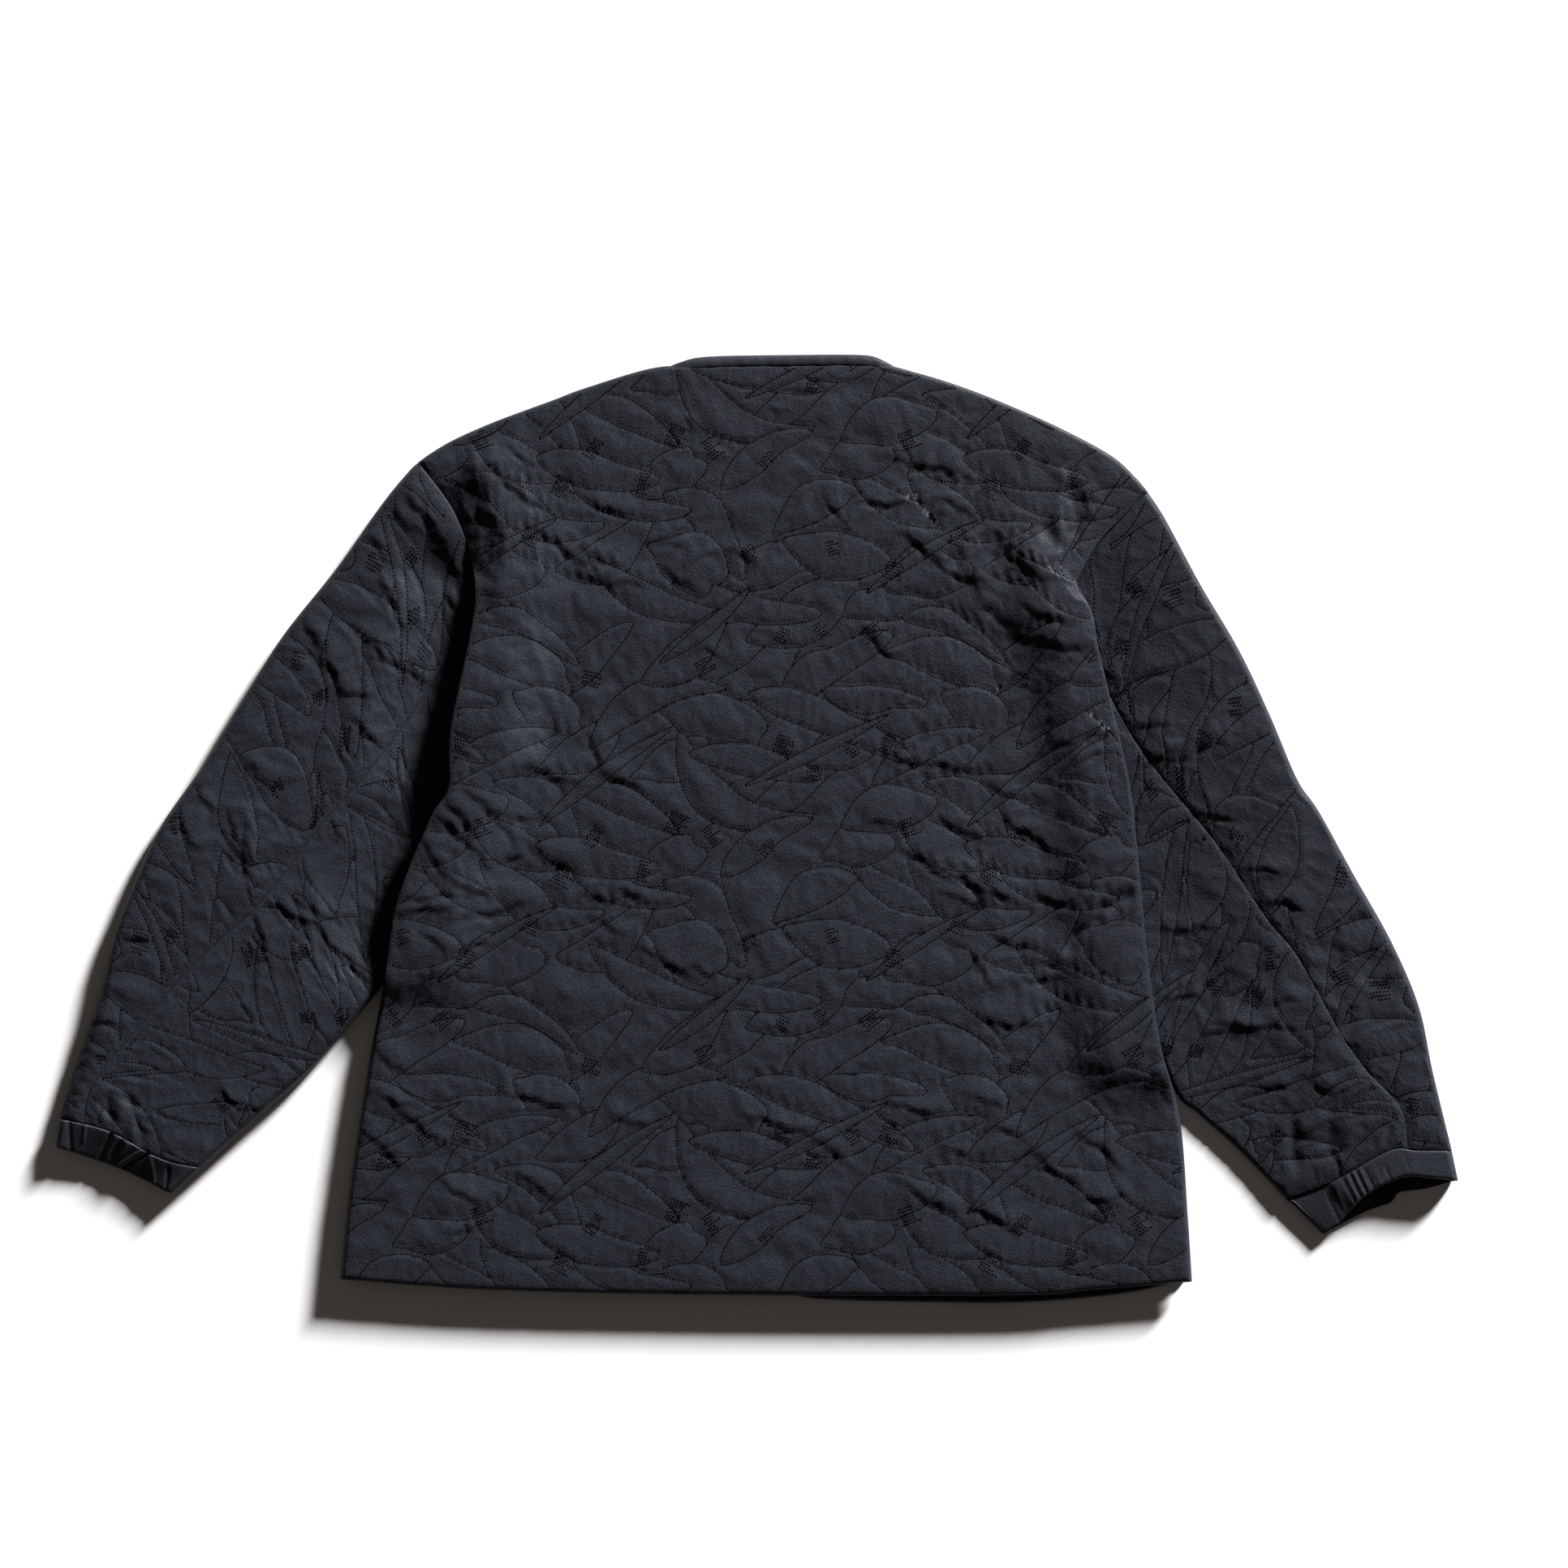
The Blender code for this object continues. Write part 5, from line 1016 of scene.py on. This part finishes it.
def make_sleeve_piece(piece, look):
    """One half of a sleeve with its stitches; its upper and lower end lines go to the cuff."""
    long = shares(piece.seam)[1]
    wide = max(np.hypot(*(read(piece.fold, 0) - read(piece.seam, 0))), LEAST_HEAD)
    near = np.array(FOLD_STOPS) / wide
    count = round((1 - near[-1] - SEAM_STOPS[-1] / wide) * wide / SPACING)
    upper = np.concatenate([near[:-1], np.linspace(near[-1], 1 - SEAM_STOPS[-1] / wide, count + 1),
                            [1 - SEAM_STOPS[0] / wide, 1.0]])
    below = np.concatenate([near, np.linspace(near[-1], 1, round(wide / UNDER_STEP))[1:]])
    stops = np.concatenate([upper[::-1], [0], below])
    layers = np.concatenate([np.ones(len(upper)), [0], -np.ones(len(below))])
    v_line = np.clip(even_stops(long, SPACING, SEAM_STOPS), SEAM_GAP / 2 / long, 1 - SEAM_GAP / 2 / long)
    v = np.repeat(v_line[:, None], len(stops), 1)
    width = np.hypot(*(read(piece.fold, v_line) - read(piece.seam, v_line)).T)[:, None]
    u = stops[None, :] * (1 - SEAM_GAP / 2 / width)
    across, along, held, away, above = drawn_to_lines(piece.offset + u * width, v * long, SPACING)
    is_open = (u * width > 2 * FOLD_STOPS[-1]) & ((1 - u) * width > 2 * SPACING) & (layers > 0)
    is_open &= (v * long > 2 * SPACING) & ((1 - v) * long > 2 * SPACING)
    u = np.where(is_open, (across - piece.offset) / width, u)
    v = np.where(is_open, along / long, v)
    plan = patch(piece.fold, piece.seam, piece.head, piece.end, u, v)
    gathered = spare_cloth(plan[..., 0], plan[..., 1], SLEEVE_GATHERS)
    swell = puff(away) + puckers(along, across, away, above, gathered)
    outer = sleeve_side(plan, u * width, (1 - u) * width, layers, v, long, piece, True, swell)
    fixed = held | (layers < 0) | (covered(plan[..., 0], plan[..., 1], piece.side) > STILL_BELOW)
    fixed[[0, 1, -2, -1]] = True
    fixed[:, [0, 1, -2, -1]] = True
    fixed[:, len(upper) - 3: len(upper) + 2] = True
    outer = settle(outer, fixed, gathered)
    fold_at = len(upper)
    cols = picked(fold_at - len(near), INNER_STRIDE) + [fold_at, fold_at + len(near)]
    cols += list(range(fold_at + len(near) + UNDER_STRIDE, len(stops) - 1, UNDER_STRIDE))
    cols.append(len(stops) - 1)
    rows = picked(len(v_line), INNER_STRIDE)
    inner_v = np.repeat(np.clip(v_line[rows], END_INSET / long, 1 - END_INSET / long)[:, None], len(cols), 1)
    inner_u = (WALL + stops[cols][None, :] * (width[rows] - WALL - SEAM_INSET)) / width[rows]
    inner = sleeve_side(patch(piece.fold, piece.seam, piece.head, piece.end, inner_u, inner_v),
                        inner_u * width[rows], (1 - inner_u) * width[rows],
                        layers[cols][None, :] * np.ones_like(inner_v), inner_v, long, piece, False)
    made = walled(piece.name, outer, inner, rows, cols, look, held)
    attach(made, "root")
    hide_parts(piece.node)

    reach = float(width.max())
    stitches = quilting_stitches((piece.offset, 0), (piece.offset + reach, long))
    at_v = stitches[..., 1] / long
    at_width = np.hypot(*np.moveaxis(read(piece.fold, at_v) - read(piece.seam, at_v), -1, 0))
    at_u = (stitches[..., 0] - piece.offset) / at_width
    ends = patch(piece.fold, piece.seam, piece.head, piece.end, at_u, at_v)
    shown = (at_u * at_width > EDGE_MARGIN) & ((1 - at_u) * at_width > EDGE_MARGIN)
    shown &= (at_v * long > EDGE_MARGIN) & ((1 - at_v) * long > EDGE_MARGIN)
    shown &= covered(ends[..., 0], ends[..., 1], piece.side) < SEWN_BELOW
    surface = surface_of(outer[:, :fold_at], held[:, :fold_at])
    stitching = sewn(f"{piece.name}_stitching", ends[shown.all(1)], surface)
    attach(stitching, "root")
    return outer[-1, fold_at::-1, :2], outer[-1, fold_at:, :2]


def make_sleeve(side, armhole, hidden_armhole, outer, seam, inner, casing, turn):
    """Both halves of a sleeve; the result is the upper and the lower line of its end."""
    label = "left" if side < 0 else "right"
    look = nylon(f"sleeve_nylon_{label}", NYLON, NYLON_ROUGHNESS, turn, NYLON_RELIEF)
    head = joined(smooth_line(armhole), smooth_line(hidden_armhole))
    end, seam_line = smooth_line(casing), smooth_line(seam)
    split_head, split_end = share_near(head, seam[0]), share_near(end, seam[-1])
    seam_line = np.vstack([read(head, split_head), seam_line[1:-1], read(end, split_end)])
    halves = []
    for half, node, fold, start, offset, flare in (
            ("outer", "top", outer, 0, 0.0, END_FLARE if side < 0 else 0),
            ("inner", "under", inner, 1, INNER_OFFSET, 0)):
        halves.append(make_sleeve_piece(
            Sleeve(f"sleeve_{half}_half_{label}", f"sleeve_{node}_{label}", side, smooth_line(fold),
                   seam_line, stretch(head, start, split_head), stretch(end, start, split_end),
                   offset, flare), look))
    return [np.vstack([halves[0][layer], halves[1][layer][::-1]]) for layer in (0, 1)]


left_end = make_sleeve(-1, ARMHOLE_LEFT, HIDDEN_ARMHOLE_LEFT, OUTER_LEFT, BACK_SEAM_LEFT, INNER_LEFT,
                       CASING_LEFT, math.radians(-35))
right_end = make_sleeve(1, ARMHOLE_RIGHT, HIDDEN_ARMHOLE_RIGHT, OUTER_RIGHT, BACK_SEAM_RIGHT, INNER_RIGHT,
                        CASING_RIGHT, math.radians(30))

# ------------------------------------------------------------------- the cuffs
# A casing of plain nylon round each sleeve's end, with elastic inside that gathers it.
# The left one is pressed flat and the right one's mouth gapes a little.
CUFF_STATIONS, CUFF_POINTS = 17, 220
CASING_CLEAR, CASING_DEPTH = 0.0001, 0.028
CASING_LIP = 0.12                         # where the inside begins, as a share of the depth
CROWDED = 0.35                            # share of a ring's points that crowd at its two folds
MOUTH_RISE, MOUTH_FALL = 0.0020, 0.0066
MOUTH_LEFT = ((-0.5250, -0.2395), (-0.4990, -0.2480), (-0.4704, -0.2589), (-0.4376, -0.2753))
MOUTH_RIGHT_UPPER = ((0.5268, -0.2650), (0.5044, -0.2625), (0.4838, -0.2625), (0.4577, -0.2753),
                     (0.4383, -0.2960), (0.4261, -0.3056))
MOUTH_RIGHT_LOWER = ((0.5268, -0.2650), (0.5026, -0.2716), (0.4838, -0.2743), (0.4765, -0.2820),
                     (0.4577, -0.2890), (0.4261, -0.3056))
# Pleats across a casing: t is the place round it and s runs from the seam to the mouth.
Pleat = namedtuple("Pleat", "t lean width s0 s1 rise")
PLEATS_LEFT = (Pleat(0.10, 0.05, 0.020, 0.0, 1.0, -0.0008), Pleat(0.20, 0.03, 0.012, 0.0, 0.6, 0.0005),
               Pleat(0.36, -0.02, 0.014, 0.0, 1.0, -0.0013), Pleat(0.40, -0.02, 0.010, 0.0, 0.8, 0.0008),
               Pleat(0.435, -0.03, 0.010, 0.1, 0.8, -0.0011), Pleat(0.49, 0.01, 0.024, 0.0, 0.6, 0.0013),
               Pleat(0.555, -0.10, 0.010, 0.0, 1.0, 0.0016), Pleat(0.60, -0.10, 0.014, 0.0, 1.0, -0.0014),
               Pleat(0.74, 0.20, 0.012, 0.0, 1.0, 0.0008), Pleat(0.86, 0.16, 0.014, 0.2, 1.0, -0.0010))
PLEATS_RIGHT = (Pleat(0.30, 0.03, 0.012, 0.2, 0.7, -0.00016), Pleat(0.43, 0.03, 0.012, 0.4, 1.0, -0.00033),
                Pleat(0.50, 0.02, 0.012, 0.3, 1.0, 0.00022), Pleat(0.545, 0.03, 0.010, 0.1, 1.0, -0.00039),
                Pleat(0.575, 0.04, 0.008, 0.0, 1.0, 0.00033), Pleat(0.595, 0.04, 0.007, 0.0, 1.0, -0.00033),
                Pleat(0.618, 0.04, 0.007, 0.0, 1.0, 0.00039), Pleat(0.640, 0.05, 0.007, 0.0, 1.0, -0.00033),
                Pleat(0.663, 0.05, 0.007, 0.0, 0.9, 0.00039), Pleat(0.690, 0.05, 0.009, 0.0, 1.0, -0.00033),
                Pleat(0.76, 0.08, 0.016, 0.1, 0.9, 0.00039), Pleat(0.82, 0.10, 0.014, 0.3, 1.0, -0.00039))
# The inner part of the right casing is pushed down, under the level of the sleeve's end.
TUCKED_FROM, TUCKED_OVER, TUCKED_DEPTH = 0.70, 0.10, 0.0018
TRIM, TRIM_TURN, TRIM_RELIEF = (0.0155, 0.0175, 0.0225), 0.4, 0.0005
trim_nylon = nylon("nylon_trim", TRIM, NYLON_ROUGHNESS, TRIM_TURN, TRIM_RELIEF)


def pleat_rise(t, s, pleats):
    """Height of the pleats at place t round a casing and s along it."""
    rise = np.zeros_like(t)
    for pleat in pleats:
        aside = (t - pleat.t - pleat.lean * (s - 0.5)) / pleat.width
        along = ease((s - pleat.s0) / 0.15 + 0.5) * ease((pleat.s1 - s) / 0.15 + 0.5)
        rise = rise + pleat.rise * along * np.exp(-aside**2)
    return rise


def make_cuff(name, node, sleeve_end, mouth_upper, mouth_lower, gape, pleats, tucked):
    """A closed tube of cloth, from the sleeve's end to the mouth, with an outside and an inside."""
    crowded = (1 - np.cos(np.linspace(0, np.pi, CUFF_POINTS))) / 2
    upper = crowded * CROWDED + np.linspace(0, 1, CUFF_POINTS) * (1 - CROWDED)
    lower = upper[::-1][1:-1]
    t = np.concatenate([upper, lower])
    on_top = np.concatenate([np.ones(len(upper), bool), np.zeros(len(lower), bool)])
    width = shares(sleeve_end[0])[1]
    edges = smooth_line(mouth_upper), smooth_line(mouth_lower)
    stations = np.linspace(0, 1, CUFF_STATIONS)
    rings = []
    for outside, places in ((True, stations), (False, stations[::-2])):
        for s in places:
            squeeze = 0.0 if outside else WALL * 0.5
            share = squeeze / width + t * (1 - 2 * squeeze / width)
            mouth = np.where(on_top[:, None], read(edges[0], share), read(edges[1], share))
            start = np.where(on_top[:, None], read(sleeve_end[0], share), read(sleeve_end[1], share))
            clear = CASING_CLEAR / np.hypot(*(mouth - start).T)[:, None]
            at = clear + (s * (1 - clear) if outside else CASING_LIP + (1 - CASING_LIP) * s)
            plan = start + (mouth - start) * np.minimum(at, 1)
            from_fold = np.minimum(t, 1 - t) * width
            top = SLEEVE_HEIGHT + gape * s * np.sin(np.pi * t) ** 0.5
            if tucked:
                top = top - RIGHT_FALL * leaned(plan[:, 0], plan[:, 1])
            middle = SLEEVE_HEIGHT / 2
            if outside:
                hem_round = 1 - 0.25 * (1 - bulge((1 - s) * CASING_DEPTH, 0.004))
                high = middle + (top - middle) * bulge(from_fold, FOLD_ROUND_UP) * hem_round
                high = high + pleat_rise(t, s, pleats) * bulge(from_fold, FOLD_ROUND_UP)
                high = high - 0.5 * SLEEVE_SEAM_DIP * np.exp(-s * CASING_DEPTH / SEAM_REACH)
                high = high - tucked * ease((t - TUCKED_FROM) / TUCKED_OVER)
                low = middle - middle * bulge(from_fold, FOLD_ROUND_DOWN)
            else:
                round_in = bulge(from_fold + 0.001, FOLD_ROUND_UP)
                high = middle + (top - WALL * OPEN_DROP - middle) * round_in
                low = middle - (middle - WALL * OPEN_DROP) * round_in
            rings.append(np.column_stack([plan, np.where(on_top, high, low)]))
    rings = np.array(rings)
    ids = numbered(rings)
    around = np.hstack([ids, ids[:, :1]])
    faces = grid_faces(np.vstack([around, around[:1]]))
    made = made_piece(name, rings.reshape(-1, 3), faces, trim_nylon)
    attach(made, "root")
    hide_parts(node)


make_cuff("casing_left", "cuff_left", left_end, MOUTH_LEFT, MOUTH_LEFT, -MOUTH_FALL, PLEATS_LEFT, 0)
make_cuff("casing_right", "cuff_right", right_end, MOUTH_RIGHT_UPPER, MOUTH_RIGHT_LOWER, MOUTH_RISE,
          PLEATS_RIGHT, TUCKED_DEPTH)

# ------------------------------------------------------------------ the fronts
# Two quilted panels beneath the back, flat where they rest.  They meet at the centre,
# and their hem shows a few millimetres below the back's.
FRONT_STEP, FRONT_STOPS = 0.006, (0.0010, 0.0030)
FRONT_INSET, FRONT_CLEAR = 0.0030, 0.0026
FRONT_FOOT = 0.25                         # rise of a front's rim underneath, in walls
TURN_BELOW, TURN_ABOVE = 0.012, 0.004     # what is left out where a side gives way to the armhole
CENTRE_X = 0.0270
NECKLINE_FRONT_LEFT = ((CENTRE_X, 0.2500), (0.0160, 0.2740), (-0.0160, 0.3050), (-0.0500, 0.3370))
NECKLINE_FRONT_RIGHT = ((CENTRE_X, 0.2500), (0.0400, 0.2740), (0.0700, 0.3050), (0.0960, 0.3370))
HEM_FRONT_LEFT = ((-0.3080, -0.3364), (-0.2009, -0.3440), (-0.0370, -0.3480), (CENTRE_X, -0.3490))
HEM_FRONT_RIGHT = ((CENTRE_X, -0.3510), (0.0500, -0.3545), (0.1200, -0.3565), (0.2000, -0.3565),
                   (0.2786, -0.3490), (0.3240, -0.3380))
Front = namedtuple("Front", "name node side body_side inner armhole hidden hem neckline leaving")


def moved_in(line, distance):
    """The line moved to its right-hand side."""
    way = np.gradient(line, axis=0)
    way /= np.maximum(np.hypot(way[:, 0], way[:, 1]), 1e-9)[:, None]
    return line + distance * np.stack([way[:, 1], -way[:, 0]], -1)


def make_front(front):
    """One front: its side follows the back's below the sleeve, and the armhole beside it."""
    side = front.side
    below = smooth_line(front.body_side)
    below = below[below[:, 1] < front.leaving - TURN_BELOW] - np.array([side * FRONT_INSET, 0])
    below[0] = front.hem[0] if side < 0 else front.hem[-1]
    underarm = smooth_line(front.inner)[::-1]
    underarm = underarm[underarm[:, 1] > front.leaving + TURN_ABOVE]
    arm = joined(smooth_line(front.armhole), smooth_line(front.hidden))[::-1]
    beside = moved_in(np.vstack([underarm, arm[1:]]), -side * FRONT_CLEAR)
    edge = np.vstack([below, beside])
    end = np.array([edge[-1][0] - side * 0.002, edge[-1][1] - FRONT_INSET])
    edge = np.vstack([edge[edge[:, 1] < end[1] - 0.004], end])
    reach = (shoulder_line[:, 0] - front.neckline[-1][0]) * side
    room_left = (end[0] - shoulder_line[:, 0]) * side
    ridge = shoulder_line[(reach > 0) & (room_left > 0.006)] - np.array([0, FRONT_INSET + 0.001])
    centre_x = CENTRE_X + side * SEAM_GAP
    foot = front.hem[-1] if side < 0 else front.hem[0]
    middle = np.vstack([[centre_x, foot[1]], [centre_x, 0.0], smooth_line(front.neckline)])
    middle[:, 0] = np.where(middle[:, 1] <= front.neckline[0][1], centre_x, middle[:, 0])
    if side < 0:
        left, right = edge, middle
        hem = smooth_line(front.hem[:-1] + (tuple(middle[0]),))
        shoulder = np.vstack([end, ridge, middle[-1]])
    else:
        left, right = middle, edge
        hem = smooth_line((tuple(middle[0]),) + front.hem[1:])
        shoulder = np.vstack([middle[-1], ridge, end])
    width, height = shares(hem)[1], shares(edge)[1]
    u_line = even_stops(width, FRONT_STEP, FRONT_STOPS)
    v_line = even_stops(height, FRONT_STEP, FRONT_STOPS)
    v, u = np.meshgrid(v_line, u_line, indexing="ij")
    plan = patch(left, right, hem, shoulder, u, v)
    from_edge = to_edge(u, v, width, height)
    height_at = WALL * (1 - OPEN_DROP + OPEN_DROP * bulge(from_edge, OPEN_ROUND))
    foot_at = WALL * FRONT_FOOT * (1 - bulge(from_edge, OPEN_ROUND))
    made = walled(front.name, np.dstack([plan, height_at]), np.dstack([plan, foot_at]),
                  range(len(v_line)), range(len(u_line)), body_nylon)
    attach(made, "root")
    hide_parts(front.node)


make_front(Front("front_panel_left", "front_left", -1, SIDE_LEFT, INNER_LEFT, ARMHOLE_LEFT,
                 HIDDEN_ARMHOLE_LEFT, HEM_FRONT_LEFT, NECKLINE_FRONT_LEFT, INNER_LEFT[2][1]))
make_front(Front("front_panel_right", "front_right", 1, SIDE_RIGHT, INNER_RIGHT, ARMHOLE_RIGHT,
                 HIDDEN_ARMHOLE_RIGHT, HEM_FRONT_RIGHT, NECKLINE_FRONT_RIGHT, INNER_RIGHT[3][1]))

# ------------------------------------------------------------------ the binding
# A narrow strip of the same nylon, folded over the back of the neck's raw edge.
BINDING_STEPS = 90
# Its section, in millimetres: aside from the neck's edge, and up from the floor.
BINDING_SECTION = ((-4.7, 13.6), (-4.3, 14.3), (-3.0, 14.9), (-1.0, 15.0), (1.0, 14.8), (2.8, 14.2),
                   (4.1, 13.2), (4.7, 11.6), (4.4, 10.0), (3.4, 9.0), (1.6, 8.7), (-0.2, 8.8),
                   (-1.2, 9.3), (-1.6, 10.5), (-1.6, 12.0), (-2.0, 12.6), (-2.9, 13.0), (-3.8, 13.3))
NECK_EDGE = ((-0.0660, 0.3418), (-0.0560, 0.3452), (-0.0310, 0.3482), (0.0250, 0.3492), (0.0783, 0.3492),
             (0.0960, 0.3458), (0.1060, 0.3410))
neck_line = read(smooth_line(NECK_EDGE), np.linspace(0, 1, BINDING_STEPS))
way = np.gradient(neck_line, axis=0)
way /= np.hypot(way[:, 0], way[:, 1])[:, None]
aside = np.stack([-way[:, 1], way[:, 0]], -1)
section = np.array(BINDING_SECTION) * MM
middle_high = section[:, 1].mean()
rings = []
for i, point in enumerate(neck_line):
    share = i / (BINDING_STEPS - 1)
    taper = 0.5 + 0.5 * ease(min(share, 1 - share) / 0.14)
    ripple = 1 + 0.05 * math.sin(41 * share) + 0.04 * math.sin(97 * share + 1)
    across = aside[i][None, :] * (section[:, 0] * taper)[:, None]
    up = middle_high + (section[:, 1] - middle_high) * taper * ripple
    rings.append(np.column_stack([point + across, up]))
rings = np.array(rings)
ids = numbered(rings)
faces = grid_faces(np.hstack([ids, ids[:, :1]])) + [tuple(ids[0].tolist()), tuple(ids[-1].tolist())]
binding = made_piece("binding", rings.reshape(-1, 3), faces, trim_nylon)
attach(binding, "root")
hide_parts("neck_binding")
